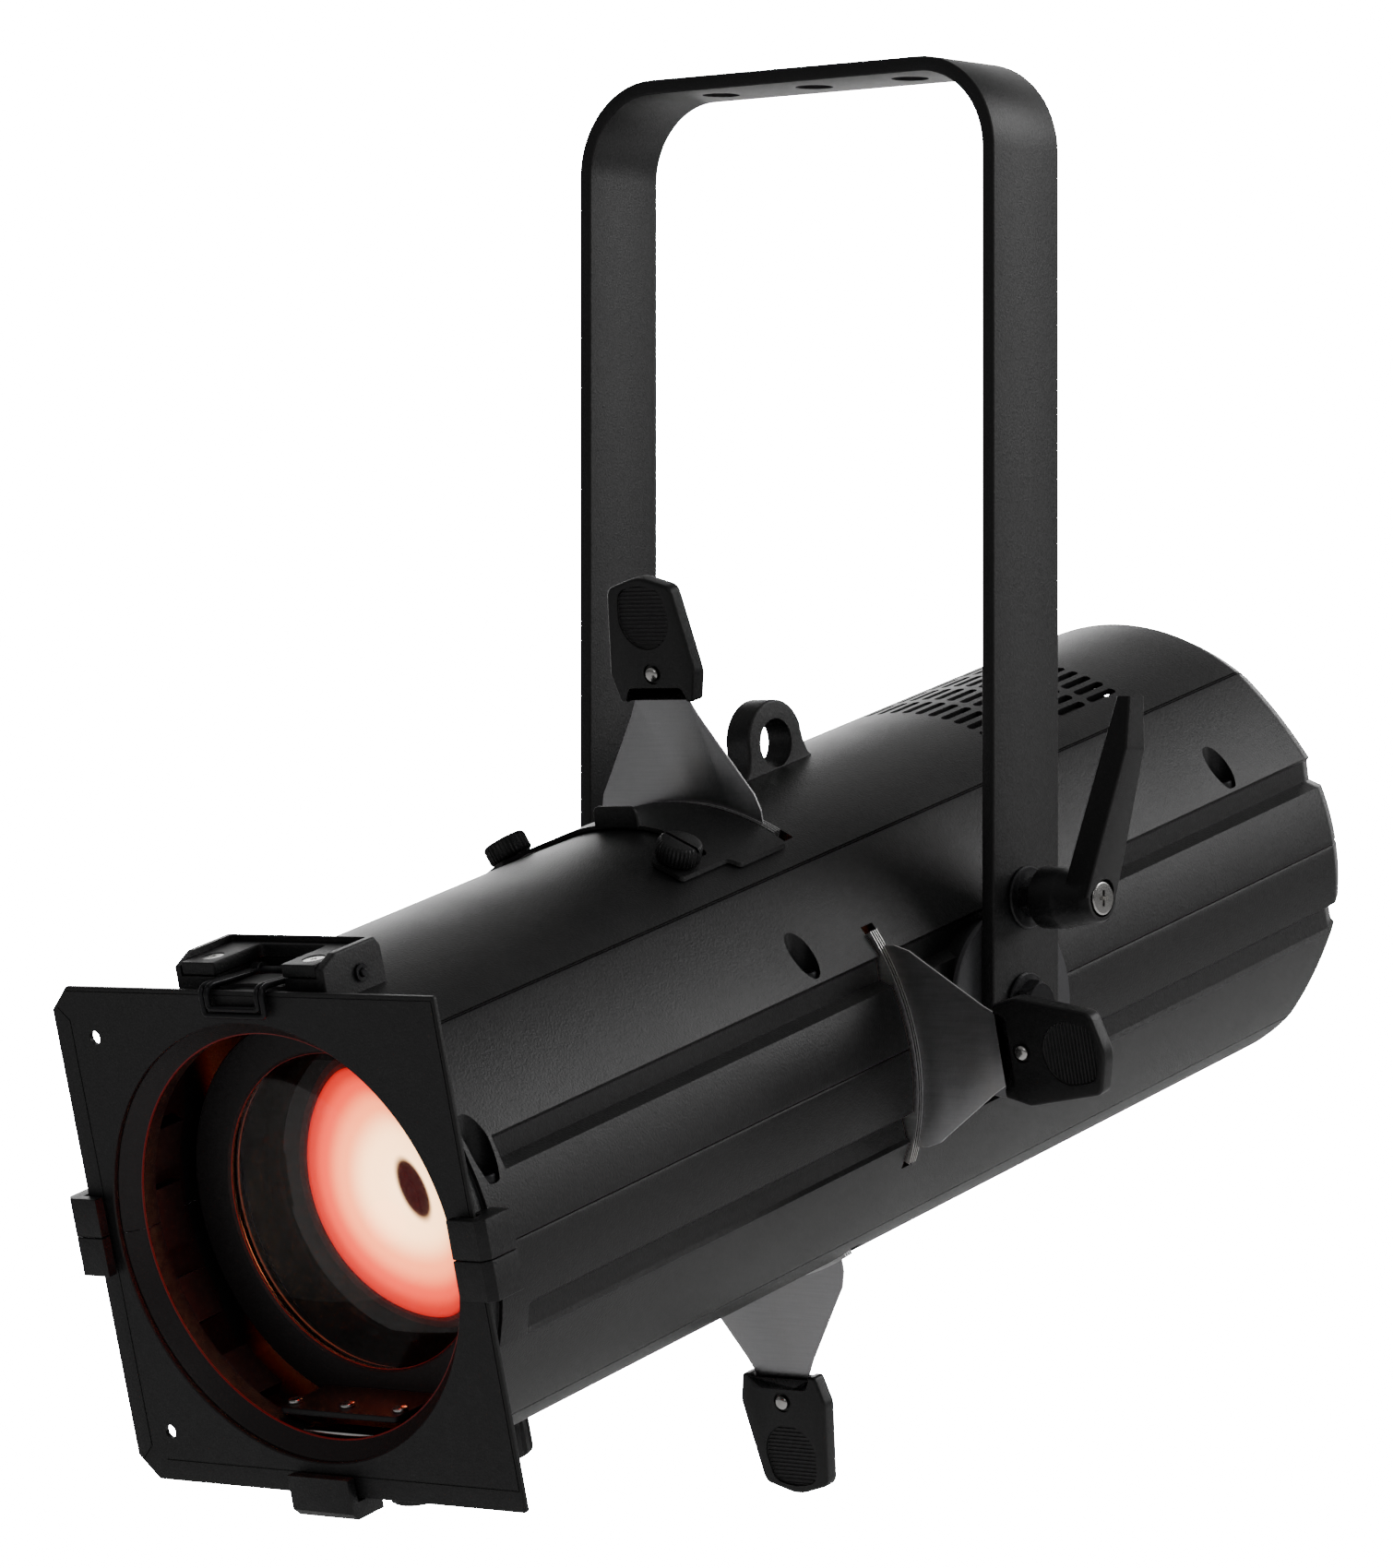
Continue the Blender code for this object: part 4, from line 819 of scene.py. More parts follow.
def inner_line(outer, radius=None):
    """Inner curve at the same angles as the outer one: a circle, or the hollow with its thicker sides."""
    angle = np.arctan2(outer[:, 1], outer[:, 0])
    lift = np.clip((outer[:, 1] - CHANNEL[1] - 2.0) / 22.0, 0, 1)
    r = radius if radius else INNER_SIDE + (INNER_TOP - INNER_SIDE - 3.2 * (1 - lift)) * lift
    return np.stack([r * np.cos(angle), np.maximum(r * np.sin(angle), SEAM)], -1)


def casting_half(name, up):
    """Loft of the closed section through the stations (b, outer, inner)."""
    plain, cut = outer_side(0.0), outer_side(1.0)
    ring = outer_side(0.0, RING_R, 0.0)
    sections = [(FRONT_B, outer_side(0.0, RING_R - 0.6, 0.0), 83.0, 1.0), (FRONT_B + 0.5, ring, 82.6, 1.0),
                (-306.4, ring, 77.3, 1.0), (-306.1, outer_side(0.0, RING_R + 0.2, 0.2), 77.0, 1.0),
                (-305.7, plain, 77.0, 1.0), (-299.0, plain, 77.0, 1.0), (-298.8, plain, None, 1.0),
                (-290.9, plain, None, 1.0), (-290.5, outer_side(0.12), None, 1.0),
                (-290.0, outer_side(0.9), None, 1.0), (-289.5, cut, None, 1.0)]
    sections += [(b, cut, None, 1.0) for b in np.linspace(-280, CHAMFER_B - 1.0, 44)]
    sections += [(CHAMFER_B + 0.2, cut, None, 0.999), (CHAMFER_B + 1.4, cut, None, 0.9945),
                 (REAR_B - 1.0, cut, None, 0.957), (REAR_B - 0.2, cut, None, 0.9525),
                 (REAR_B, cut, None, 0.947)]
    rows = []
    for b, side, radius, scale in sections:
        outside = both_sides(side)
        inside = inner_line(outside, radius) * scale
        loop = np.concatenate([outside * scale, inside[::-1]])
        loop[:, 1] = np.maximum(loop[:, 1], SEAM) * up
        rows.append(np.column_stack([loop[:, 0], np.full(len(loop), b), loop[:, 1]]))
    grid = np.stack(rows)
    count, half = grid.shape[1], grid.shape[1] // 2
    faces = list(grid_faces(len(rows), count, wrap_cols=True))
    i = np.arange(half - 1)
    for start in (0, (len(rows) - 1) * count):
        faces += list(start + np.stack([i, i + 1, count - 2 - i, count - 1 - i], -1))
    made = mesh_object(name, on_barrel(grid.reshape(-1, 3)), faces, crease=math.radians(24))
    print(name, "section points:", count, "stations:", len(rows))
    return made


# %% [markdown]
# The two halves are cut for the shutters, the pattern slot, the screw wells and the vents. A vent is a slot
# with round ends, standing across the wall at its own angle: sixteen rows of four over the heat sink. A screw
# well is an upright bore near the side of the barrel, so where it meets the slope it opens as a long oval.

# %% Slots, wells and vents
SLOT_B = (-62.5, -55.5)
VENTS = {"rows": 16, "pitch": 3.87, "starts": (80.5, 102.1, 123.7, 145.3), "long": 18.2, "wide": 3.6}
WELLS = [(87.9, -298.0, 21.0), (81.4, -99.0, 37.0), (81.9, 178.0, 37.0)]
WELL_R = 5.7


def vent_tools():
    tools = []
    end, start = VENTS["wide"] / 2, VENTS["long"] - VENTS["wide"] / 2
    pill = np.concatenate([arc(end, (0, start), 0, 180, 8), arc(end, (0, end), 180, 360, 8)])
    for row in range(VENTS["rows"]):
        angle = math.radians((row - (VENTS["rows"] - 1) / 2) * VENTS["pitch"])
        for first in VENTS["starts"]:
            rings = np.stack([np.column_stack([pill + [0, first], np.full(len(pill), u)])
                              for u in (82.0, 106.0)])
            x, u = rings[..., 0].copy(), rings[..., 2].copy()
            rings[..., 0] = x * math.cos(angle) + u * math.sin(angle)
            rings[..., 2] = u * math.cos(angle) - x * math.sin(angle)
            tools.append(surface(f"vent_{row}", rings))
    return merged("vent_tools", tools)


def well_tools():
    tools = []
    for x, b, floor in WELLS:
        for way in (1, -1):
            profile = [(0, floor), (WELL_R - 1.5, floor), (WELL_R, floor + 1.5), (WELL_R, 78.0), (0, 78.0)]
            tools.append(spun("well", profile, (way * x, b, 0), "u", 48))
    return merged("well_tools", tools)


def clips(up):
    """Hooks that hold the front frame: half of each side clip, and the whole bottom one on the lower half."""
    hook = np.array([(89.0, -303.3), (103.0, -303.3), (103.0, -317.0), (100.0, -320.0), (87.0, -320.0),
                     (87.0, -315.9), (96.3, -315.9), (96.3, -312.1), (89.0, -312.1)])
    low, high = sorted((SEAM * up, 15.0 * up))
    out = [slab("clip_right", hook, low, high, 0.5), slab("clip_left", hook * [-1, 1], low, high, 0.5)]
    if up < 0:
        foot = np.array([(b, -x) for x, b in hook])
        out.append(slab("clip_bottom", foot, -15.0, 15.0, 0.5, "bu"))
    return out


def pads(up):
    """Half-round bosses that carry the friction discs."""
    out = []
    for way in (1, -1):
        half = np.concatenate([arc(33.0, (0, SEAM * up), 0 if up > 0 else 180, 180 if up > 0 else 360, 40)])
        low, high = sorted((way * 84.5, way * 95.9))
        out.append(slab("pad", half, low, high, 0.4, "bu"))
    return out


def shared_slots():
    slots = [box("side_slots", (-120, SLOT_B[0], -48.0), (120, SLOT_B[1], 48.0))]
    slots += [spun("pivot_bore", [(0, way * 80), (6.3, way * 80), (6.3, way * 130), (0, way * 130)], axis="x")
              for way in (1, -1)]
    return slots


def upper_casting():
    half = casting_half("upper_casting", 1)
    carve(half, clips(1) + pads(1), "UNION", crease=math.radians(24))
    tools = shared_slots() + [
        box("pattern_slot", (-36, -82, 60), (36, -70, 120)),
        box("top_slot", (-50, SLOT_B[0], 60), (50, SLOT_B[1], 120)),
        box("bail_window", (-21.5, -293.0, 70), (21.5, -282.5, 120)), vent_tools(), well_tools()]
    for way in (1, -1):
        s, c = math.sin(math.radians(25)), math.cos(math.radians(25))
        line = np.array([[60 * s * way, -114, 60 * c], [120 * s * way, -114, 120 * c]])
        tools.append(tube("cover_screw_hole", line, 2.8, (0, 1, 0), 32))
    carve(half, tools, crease=math.radians(24))
    return dress(half, CAST_COAT, "upper_housing")


def lower_casting():
    half = casting_half("lower_casting", -1)
    carve(half, clips(-1) + pads(-1), "UNION", crease=math.radians(24))
    tracks = [box("track", (-3.6, low, -110), (3.6, high, -70)) for low, high in ((-272, -249), (-226, -128))]
    tools = shared_slots() + [box("bottom_slot", (-50, SLOT_B[0], -120), (50, SLOT_B[1], -60))] + tracks
    carve(half, tools, crease=math.radians(24))
    return dress(half, CAST_COAT, "lower_housing")


upper, lower = upper_casting(), lower_casting()
print("casting faces:", len(upper.data.polygons), len(lower.data.polygons))

# %% [markdown]
# Each well holds the hex socket screw that ties the halves together. Inside the nose, cast pads stand round
# the wall behind the front ring, and a sprung steel strip lies under the lens ledge. They catch the red
# light.

# %% Screws in the wells, pads in the nose


def socket_screws():
    bodies = []
    for x, b, floor in WELLS:
        for way in (1, -1):
            cap = [(0, floor + 0.1), (3.9, floor + 0.1), (4.2, floor + 0.4), (4.2, floor + 3.4),
                   (3.8, floor + 3.9), (2.3, floor + 3.9), (2.0, floor + 1.6), (0, floor + 1.6)]
            bodies.append(spun("cap", cap, (way * x, b, 0), "u", 36))
    return merged("socket_screws", bodies)


def nose_pads():
    """Blocks bent round the inside of the nose: an angle across and a depth along, from 78 mm to the wall."""
    bodies = []
    for middle, spread in ((160, 6.5), (180, 8.5), (203, 6.5), (228, 7.5), (20, 6.5), (0, 8.5), (-23, 6.5),
                           (-48, 7.5)):
        a = np.radians(middle + np.linspace(-spread, spread, 9))
        inner, outer = 79.0 * np.ones(9), 84.6 * np.ones(9)
        loop = np.concatenate([np.stack([inner * np.cos(a), inner * np.sin(a)], -1),
                               np.stack([outer * np.cos(a), outer * np.sin(a)], -1)[::-1]])
        bodies.append(slab("nose_pad", loop, -297.0, -283.5, 0.5, "xu"))
    return merged("nose_pads", bodies)


def vent_shade_sheet():
    """Painted shade: a dark curved sheet behind the vents, so that no light passes straight through the casing."""
    a = np.radians(np.linspace(52, 128, 39))
    loop = np.concatenate([polar(87.5, np.degrees(a)), polar(88.3, np.degrees(a))[::-1]])
    return slab("vent_shade_sheet", loop, 74.0, 168.0, 0, "xu")


extra(socket_screws(), BLACKENED, "upper_housing")
# The dark sheet under the vents is painted shade.
extra(vent_shade_sheet(), INNER_BLACK, "upper_housing")
extra(nose_pads(), INNER_BLACK, "lower_housing")
steel_strip = slab("sprung_strip", smooth_corners([(-22, -75.9), (22, -75.9), (20, -74.9), (-20, -74.9)],
                                                  0.3),
                   -304.5, -296.0, 0.1, "xu")
extra(steel_strip, PRESSED_STEEL, "lower_housing")
print("wells, nose pads and strip done")

# %% [markdown]
# ## Safety eye and friction discs
# The safety cable passes through a cast eye. It is a flat lug with a round head, its foot bedded on the
# barrel. The grey discs between barrel and yoke are what the tilt lock squeezes.

# %% Safety eye and discs


def safety_eye():
    centre = (-4.0, 105.4)
    head = arc(17.0, centre, 14, 166, 28)
    lug = np.concatenate([[(-26, 93.0)], [(16.5, 93.0)], smooth_root((16.5, 96.0), head[0]), head,
                          smooth_root((-26, 96.0), head[-1])[::-1]])
    piece = slab("eye", lug, -6.0, 6.0, 1.1, "bu", steps=5)
    bore = slab("eye_bore", circle(9.6, centre), -20, 20, 0, "bu")
    bed = spun("eye_bed", [(0, -60), (BODY_R + 0.1, -60), (BODY_R + 0.1, 60), (0, 60)], steps=256)
    return carve(piece, [bore, bed])


def smooth_root(foot, start):
    """Hollow curve from the foot of the lug up to its round head."""
    foot, start = np.array(foot), np.array(start)
    t = np.linspace(0, 1, 8)[:-1, None]
    knee = np.array([start[0] * 0.86 + foot[0] * 0.14, foot[1] + 1.0])
    return (1 - t) ** 2 * foot + 2 * t * (1 - t) * knee + t ** 2 * start


def friction_disc(side, way):
    faces = [(6.3, 96.3), (36.2, 96.3), (36.5, 96.6), (36.5, 98.5), (36.2, 98.8), (6.3, 98.8)]
    disc = spun(f"friction_disc_{side}", [(r, way * h) for r, h in faces], axis="x", steps=128, wrap=True)
    dress(disc, FRICTION_GREY, f"tilt_disc_{side}")


dress(safety_eye(), CAST_COAT, "safety_eye")
for side, way in (("right", 1), ("left", -1)):
    friction_disc(side, way)
    frame["nodes"][f"brake_shoe_{side}"].data.materials.clear()
    frame["nodes"][f"brake_shoe_{side}"].data.materials.append(BLACKENED)
print("eye and discs done")

# %% [markdown]
# ## Front frame
# The square frame is folded from sheet. Two edges carry a hem, seen as a fine line 8 mm in, mitred at the
# cut corner. Its big aperture has a rolled rim. It is a rounded slab with the aperture, two holes and the
# hem lines cut from it.

# %% Front frame
FRAME_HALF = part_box("front_frame")[1][0] / MM
FRAME_FRONT, FRAME_BACK = -314.9, -312.9
CORNER_CUT = 9.0


def hem_line(start, end, wide=0.45, deep=0.35):
    """Fine groove between two points of the frame's face."""
    start, end = np.array(start, float), np.array(end, float)
    ahead = (end - start) / np.linalg.norm(end - start)
    side = np.array([-ahead[1], ahead[0]]) * wide / 2
    outline = np.array([start - side, end - side, end + side, start + side])
    return slab("hem", outline, FRAME_FRONT - 1, FRAME_FRONT + deep, 0, "xu")


def front_frame():
    h, c = FRAME_HALF, CORNER_CUT
    outline = [(-h, -h + c), (-h + c, -h), (h, -h), (h, h), (-h + c, h), (-h, h - c)]
    sheet = slab("frame_sheet", smooth_corners(outline, [0.8, 0.8, 1.2, 1.2, 0.8, 0.8], 4), FRAME_FRONT,
                 FRAME_BACK, 0.35, "xu")
    aperture = spun("aperture", [(0, FRAME_FRONT - 3), (83.5, FRAME_FRONT - 3), (83.5, FRAME_FRONT),
                                 (83.1, FRAME_FRONT + 0.4), (83.0, FRAME_FRONT + 0.9), (83.0, FRAME_BACK + 3),
                                 (0, FRAME_BACK + 3)], steps=192)
    holes = [spun("frame_hole", [(0, FRAME_FRONT - 3), (2.6, FRAME_FRONT - 3), (2.6, FRAME_BACK + 3),
                                 (0, FRAME_BACK + 3)], (-76, 0, u), steps=48) for u in (-76, 76)]
    inner = h - 8.2
    lines = [hem_line((-inner, -h + c + 4), (-inner, h - c - 4)),
             hem_line((-inner, -h + c + 4), (-h + 3, -h + c - 1)),
             hem_line((-inner, h - c - 4), (-h + 3, h - c + 1)),
             hem_line((-h + c + 6, -inner), (h - 1.4, -inner)),
             hem_line((h - 1.4, -inner), (h - 1.4, h - 1.4)), hem_line((h - 1.4, h - 1.6), (-h + c, h - 1.6))]
    return carve(sheet, [aperture] + holes + lines)


dress(front_frame(), SHEET_COAT, "front_frame")
print("front frame", round(FRAME_HALF * 2, 1), "mm square")

# %% [markdown]
# ## Frame holder, plate and bail
# The holder is a block bedded on the nose, hollow in the middle. Two countersunk screws hold a U-shaped plate
# in its recess. A pin across it carries the wire bail, bent from doubled wire, that hooks over the frame.

# %% Holder, plate and pin
PIN = (-287.6, 95.1)


def holder():
    side = smooth_corners([(-307, 80), (-274.5, 80), (-275, 102), (-277.3, 105.5), (-298.8, 105.5),
                           (-307, 101.6)],
                          [0, 0, 1.0, 1.2, 2.0, 1.0], 3)
    block = slab("holder", side, -36.6, 36.6, 0.9, "bu", steps=4)
    tools = [spun("bed", [(0, -330), (BODY_R + 0.1, -330), (BODY_R + 0.1, -250), (0, -250)], steps=256),
             box("hollow", (-17.5, -320, 60), (17.5, -281, 130)),
             slab("recess", smooth_corners([(-33.4, -330), (33.4, -330), (33.4, -278.2), (-33.4, -278.2)],
                                           [0, 0, 1.2, 1.2]), 98.0, 130, 0),
             spun("pin_hole", [(0, -60), (1.9, -60), (1.9, 60), (0, 60)], (0, *PIN), "x", 32)]
    return carve(block, tools)


def plate():
    u_shape = [(-33.1, -306.9), (-16.6, -306.9), (-16.6, -281.5), (16.6, -281.5), (16.6, -306.9),
               (33.1, -306.9), (33.1, -278.5), (-33.1, -278.5)]
    sheet = slab("plate", smooth_corners(u_shape, [0.8, 0.8, 2.2, 2.2, 0.8, 0.8, 1.0, 1.0]), 98.3, 103.2, 0.5)
    sinks = [spun("sink", [(0, 100.6), (2.2, 100.6), (4.6, 103.4), (4.6, 110), (0, 110)], (x, -298, 0), "u",
                  48)
             for x in (-25, 25)]
    return carve(sheet, sinks)


def plate_screw(x):
    return cross_screw("plate_screw", 4.2, 101.9, 102.9, on_barrel, (x, -298, 0), "u", dome=0.12, size=0.55)


dress(holder(), CAST_COAT, "frame_holder")
dress(plate(), CAST_COAT, "holder_plate")
for x in (-25.0, 25.0):
    extra(plate_screw(x), PRESSED_STEEL, "holder_plate")
pin_profile = [(0, -38.6), (1.2, -38.6), (1.6, -38.2), (1.6, 38.2), (1.2, 38.6), (0, 38.6)]
dress(spun("pin", pin_profile, (0, *PIN), "x", 32), BLACKENED, "bail_pin")
collar = [(1.8, 36.7), (3.2, 36.7), (3.4, 36.9), (3.4, 37.5), (3.2, 37.7), (1.8, 37.7)]
extra(merged("pin_clips", [spun("clip", [(r, way * h) for r, h in collar], (0, *PIN), "x", 32, wrap=True)
                           for way in (1, -1)]), BLACKENED, "frame_holder")

# %% [markdown]
# The bail's wire runs forward from the pin, bends down over the frame and crosses at the bottom. It is
# doubled: the same path twice, side by side. Each path is a line of points with round corners, and a circle
# carried along it makes the wire.

# %% Wire bail


def bent_line(corners, radius, steps=7):
    """Open 3-D line whose inner corners are replaced by arcs, as quadratic curves that touch both sides."""
    corners = np.asarray(corners, float)
    out = [corners[:1]]
    t = np.linspace(0, 1, steps)[:, None]
    for before, here, after in zip(corners, corners[1:], corners[2:]):
        a = here + (before - here) / np.linalg.norm(before - here) * radius
        c = here + (after - here) / np.linalg.norm(after - here) * radius
        out.append((1 - t) ** 2 * a + 2 * t * (1 - t) * here + t ** 2 * c)
    return np.concatenate(out + [corners[-1:]])


def bail():
    radius, front = 1.15, FRAME_FRONT - 2.3
    b, u = PIN
    wires = []
    for half, low in ((14.9, 86.7), (12.4, 89.2)):
        right = [(half, b + 1.4, u), (half, front + 2.4, u + 2.3), (half, front, u + 0.6), (half, front, low)]
        line = np.array(right + [(-x, *rest) for x, *rest in right[::-1]])
        wires.append(tube("bail_wire", bent_line(line, 1.9), radius, (0.3, 0.55, 0.77), 14))
    eyes = [spun("bail_eye", [(1.9, -2.2), (2.7, -2.2), (2.9, -2.0), (2.9, 2.0), (2.7, 2.2), (1.9, 2.2)],
                 (way * 13.6, *PIN), "x", 32, wrap=True) for way in (1, -1)]
    return merged("bail", wires + eyes)


dress(bail(), BLACKENED, "frame_bail")
print("holder and bail done")

# %% [markdown]
# ## Pattern slot cover and thumbscrews
# A curved cover closes the slot for pattern holders. It is the part of a thin ring that lies inside an
# outline with two wings. Two long slots let it slide under the thumbscrews, whose heads are knurled: the
# radius of the head goes in and out with the angle.

# %% Cover and thumbscrews
COVER_R = (96.2, 97.7)
COVER_SCREW_B = -114.0
COVER_TURN = math.radians(25)


def around(turn):
    """Placing function for a piece drawn upright and then turned round the barrel's axis."""
    c, s = math.cos(turn), math.sin(turn)

    def place(points):
        x, b, u = np.moveaxis(np.asarray(points, float), -1, 0)
        return on_barrel(np.stack([x * c + u * s, b, u * c - x * s], -1))

    return place


def cover_slot(way):
    """Straight slot with a round back end, long enough for the cover's travel."""
    x, b = way * COVER_R[1] * math.sin(COVER_TURN), COVER_SCREW_B
    corners = [(x - 3.1, b - 3.5), (x + 3.1, b - 3.5), (x + 3.1, b + 15.5), (x - 3.1, b + 15.5)]
    outline = smooth_corners(corners, [2.0, 2.0, 3.0, 3.0])
    return slab("cover_slot", outline, 60, 120, 0)


def pattern_cover():
    low, high = COVER_R
    piece = spun("pattern_cover", [(low, -140), (high - 0.3, -140), (high, -139.7), (high, -50.3),
                                   (high - 0.3, -50), (low, -50)], steps=320, wrap=True)
    half = np.array([(53.6, -64.2), (53.6, -93), (49.7, -95.5), (49.7, -123), (37.1, -124), (22.6, -97)])
    outline = smooth_corners(np.concatenate([half, half[::-1] * [-1, 1]]),
                             [1.5, 2.0, 1.5, 2.0, 2.0, 2.5] + [2.5, 2.0, 2.0, 1.5, 2.0, 1.5])
    carve(piece, [slab("cover_trim", outline, 60, 120, 0)], "INTERSECT")
    tab = smooth_corners([(-10.7, 96.6), (10.7, 96.6), (10.7, 105.0), (-10.7, 105.0)], [0, 0, 3.2, 3.2])
    carve(piece, [slab("cover_tab", tab, -98.4, -96.9, 0.35, "xu")], "UNION")
    return carve(piece, [cover_slot(1), cover_slot(-1)])


def thumbscrew(side, way, teeth=34, knurl=0.42):
    """Head with a knurled rim: r = profile - knurl (1 + cos(teeth a)) / 2 on the rim only."""
    profile = np.array([(0, 106.1), (6.6, 106.15), (7.6, 106.0), (8.4, 105.4), (8.8, 104.6), (8.8, 99.4),
                        (8.5, 98.6), (7.9, 98.1), (2.4, 98.05), (2.4, 88.0), (0, 88.0)])
    a = np.radians(np.arange(0, 360, 1.5))
    rim = (profile[:, 0] > 8.3)[:, None]
    r = profile[:, :1] - rim * knurl * (1 + np.cos(teeth * a)) / 2
    grid = np.stack([r * np.cos(a), COVER_SCREW_B + r * np.sin(a), np.broadcast_to(profile[:, 1:], r.shape)],
                    -1)
    place = around(way * COVER_TURN)
    head = surface(f"thumbscrew_head_{side}", grid, place=place)
    carve(head, [box("slot", (-12, COVER_SCREW_B - 0.75, 104.6), (12, COVER_SCREW_B + 0.75, 108), 0, place)])
    dress(head, MOULDED, f"thumbscrew_{side}")


dress(pattern_cover(), SHEET_COAT, "gobo_cover")
thumbscrew("right", 1)
thumbscrew("left", -1)
print("cover radius", COVER_R[1], "mm")

# %% [markdown]
# ## Gate and shutters
# Four blades slide between five thin sheets. Each sheet is a ring with four tabs that reach into the slots:
# its rim is a circle of 82.5 mm, and 96.8 mm within the tabs. A blade is drawn upright as a slab with
# rounded shoulders and turned round the barrel to its own side. The cut edges of the blades get brighter
# steel.

# %% Guide sheets and gate plates
GUIDES_B = (-61.6, -60.2, -59.0, -57.8)
GUIDE_TAB_R = 96.8
SLICE_B = {"top": -59.6, "right": -58.4, "bottom": -57.2, "left": -60.8}


def guide_sheet(b, thick=0.34):
    a = np.radians(np.arange(0, 360, 0.75))
    across = np.abs((a + np.pi / 4) % (np.pi / 2) - np.pi / 4)
    rim = np.where(np.sin(across) * GUIDE_TAB_R < 46.5, GUIDE_TAB_R, 82.5)
    rows = [(np.full(len(a), 42.0), b - thick / 2), (np.full(len(a), 42.0), b + thick / 2),
            (rim, b + thick / 2), (rim, b - thick / 2)]
    grid = np.stack([np.stack([r * np.cos(a), np.full(len(a), at), r * np.sin(a)], -1) for r, at in rows])
    return surface("guide", grid, wrap_rows=True, caps=False)


def gate_ring(node, low, high):
    rim = [(38.0, low + 0.2), (38.2, low), (81.2, low), (81.5, low + 0.3), (81.5, high - 0.3), (81.2, high),
           (38.2, high), (38.0, high - 0.2)]
    dress(spun(node + "_ring", rim, steps=160, wrap=True), INNER_BLACK, node)


extra(merged("guide_sheets", [guide_sheet(b) for b in GUIDES_B]), GUIDE_STEEL, "gate_front_plate")
gate_ring("gate_front_plate", -65.4, -63.4)
gate_ring("gate_rear_plate", -54.6, -52.6)
print("guide sheets:", len(GUIDES_B))

# %% Shutter blades
RIVET_U = 148.0


def bright_edges(piece, paint):
    """Gives a second finish to the faces that don't look along the barrel."""
    piece.data.materials.append(paint)
    normals = np.empty(len(piece.data.polygons) * 3)
    piece.data.polygons.foreach_get("normal", normals)
    sideways = np.abs(normals.reshape(-1, 3) @ ALONG) < 0.8
    piece.data.polygons.foreach_set("material_index", sideways.astype(int))


def shutter_blade(side, turn):
    b = SLICE_B[side]
    half = np.array([(40, 41), (40, 93), (38, 99.5), (33.2, 106.5), (17.0, 130.6), (13.5, 137.0),
                     (13.5, 150.0)])
    radii = [1.0, 2.5, 3.5, 3.5, 5.0, 3.0, 0.8]
    outline = smooth_corners(np.concatenate([half, half[::-1] * [-1, 1]]), radii + radii[::-1], 8)
    blade = slab(f"blade_{side}", outline, b - 0.4, b + 0.4, 0.14, "xu", around(turn), steps=2)
    dress(blade, BLADE_STEEL, f"shutter_blade_{side}")
    bright_edges(blade, GUIDE_STEEL)


QUARTERS = {"top": 0.0, "right": math.pi / 2, "bottom": math.pi, "left": -math.pi / 2}
for side, turn in QUARTERS.items():
    shutter_blade(side, turn)
print("blades:", len(QUARTERS))

# %% [markdown]
# Each handle is moulded round the end of its blade. Its outline widens to two shoulders, and two short
# prongs clasp the blade. The thumb rest is a recess: round towards the blade, and with sides that follow
# the taper of the handle. Fine ribs cross it. A domed rivet in a ringed hole holds it.

# %% Shutter handles
HANDLE_HALF = 3.35


def handle_outline():
    half = np.array([(12.2, 141.4), (14.7, 136.8), (18.2, 136.8), (21.3, 148.0), (15.8, 182.0), (0.0, 186.5)])
    corners = np.concatenate([half, half[-2::-1] * [-1, 1]])
    radii = [1.5, 0.9, 1.6, 7.0, 4.5, 16.0]
    return smooth_corners(corners, radii + radii[-2::-1], 8)


def thumb_rest():
    low = arc(12.4, (0, 170.0), 180, 360, 28)
    side = np.array([(11.2, 177.4), (10.2, 179.8), (8.2, 181.4), (4.0, 182.4)])
    return np.concatenate([low, side, [(0, 182.8)], side[::-1] * [-1, 1]])


def shutter_handle(side, turn):
    b, place = SLICE_B[side], around(turn)
    body = slab(f"handle_{side}", handle_outline(), b - HANDLE_HALF, b + HANDLE_HALF, 1.15, "xu", place,
                steps=5)
    front = b - HANDLE_HALF
    rest = thumb_rest()
    recess_floor = front + 0.95
    tools = [box("slit", (-14.2, b - 0.7, 120), (14.2, b + 0.7, 150.6), 0, place),
             slab("thumb_rest", rest, front - 3, recess_floor, 0.7, "xu", place, steps=4)]
    for low, high in ((b - HANDLE_HALF - 3, front + 0.9), (b + HANDLE_HALF - 0.9, b + HANDLE_HALF + 3)):
        tools.append(spun("rivet_seat", [(0, low), (4.1, low), (4.1, high), (0, high)], (0, 0, RIVET_U), "b",
                          48, place))
    carve(body, tools)
    ribs = []
    for u in np.arange(159.2, 182.0, 1.62):
        wide = np.interp(u, [157.6, 159.2, 162, 166, 170, 177.4, 180, 182.5],
                         [0, 5.2, 9.2, 11.6, 12.1, 10.9, 9.2, 5.0])
        line = np.array([(-wide, recess_floor + 0.15, u), (wide, recess_floor + 0.15, u)])
        ribs.append(tube("rib", line, 0.52, (0, 1, 0), 12, place))
    piece = merged(f"handle_{side}_ribbed", [body] + ribs)
    dress(piece, MOULDED, f"shutter_handle_{side}")
    dome = [(2.95, 3.55), (2.9, 3.9), (2.5, 4.45), (1.8, 4.8), (0.9, 4.97), (0, 5.0)]
    profile = dome[::-1] + [(1.5, 3.5), (1.5, -3.5)] + [(r, -h) for r, h in dome]
    rivet = spun(f"rivet_{side}", profile, (0, b, RIVET_U), "b", 40, place)
    dress(rivet, PRESSED_STEEL, f"shutter_rivet_{side}")


for side, turn in QUARTERS.items():
    shutter_handle(side, turn)
print("handle thickness", HANDLE_HALF * 2, "mm")

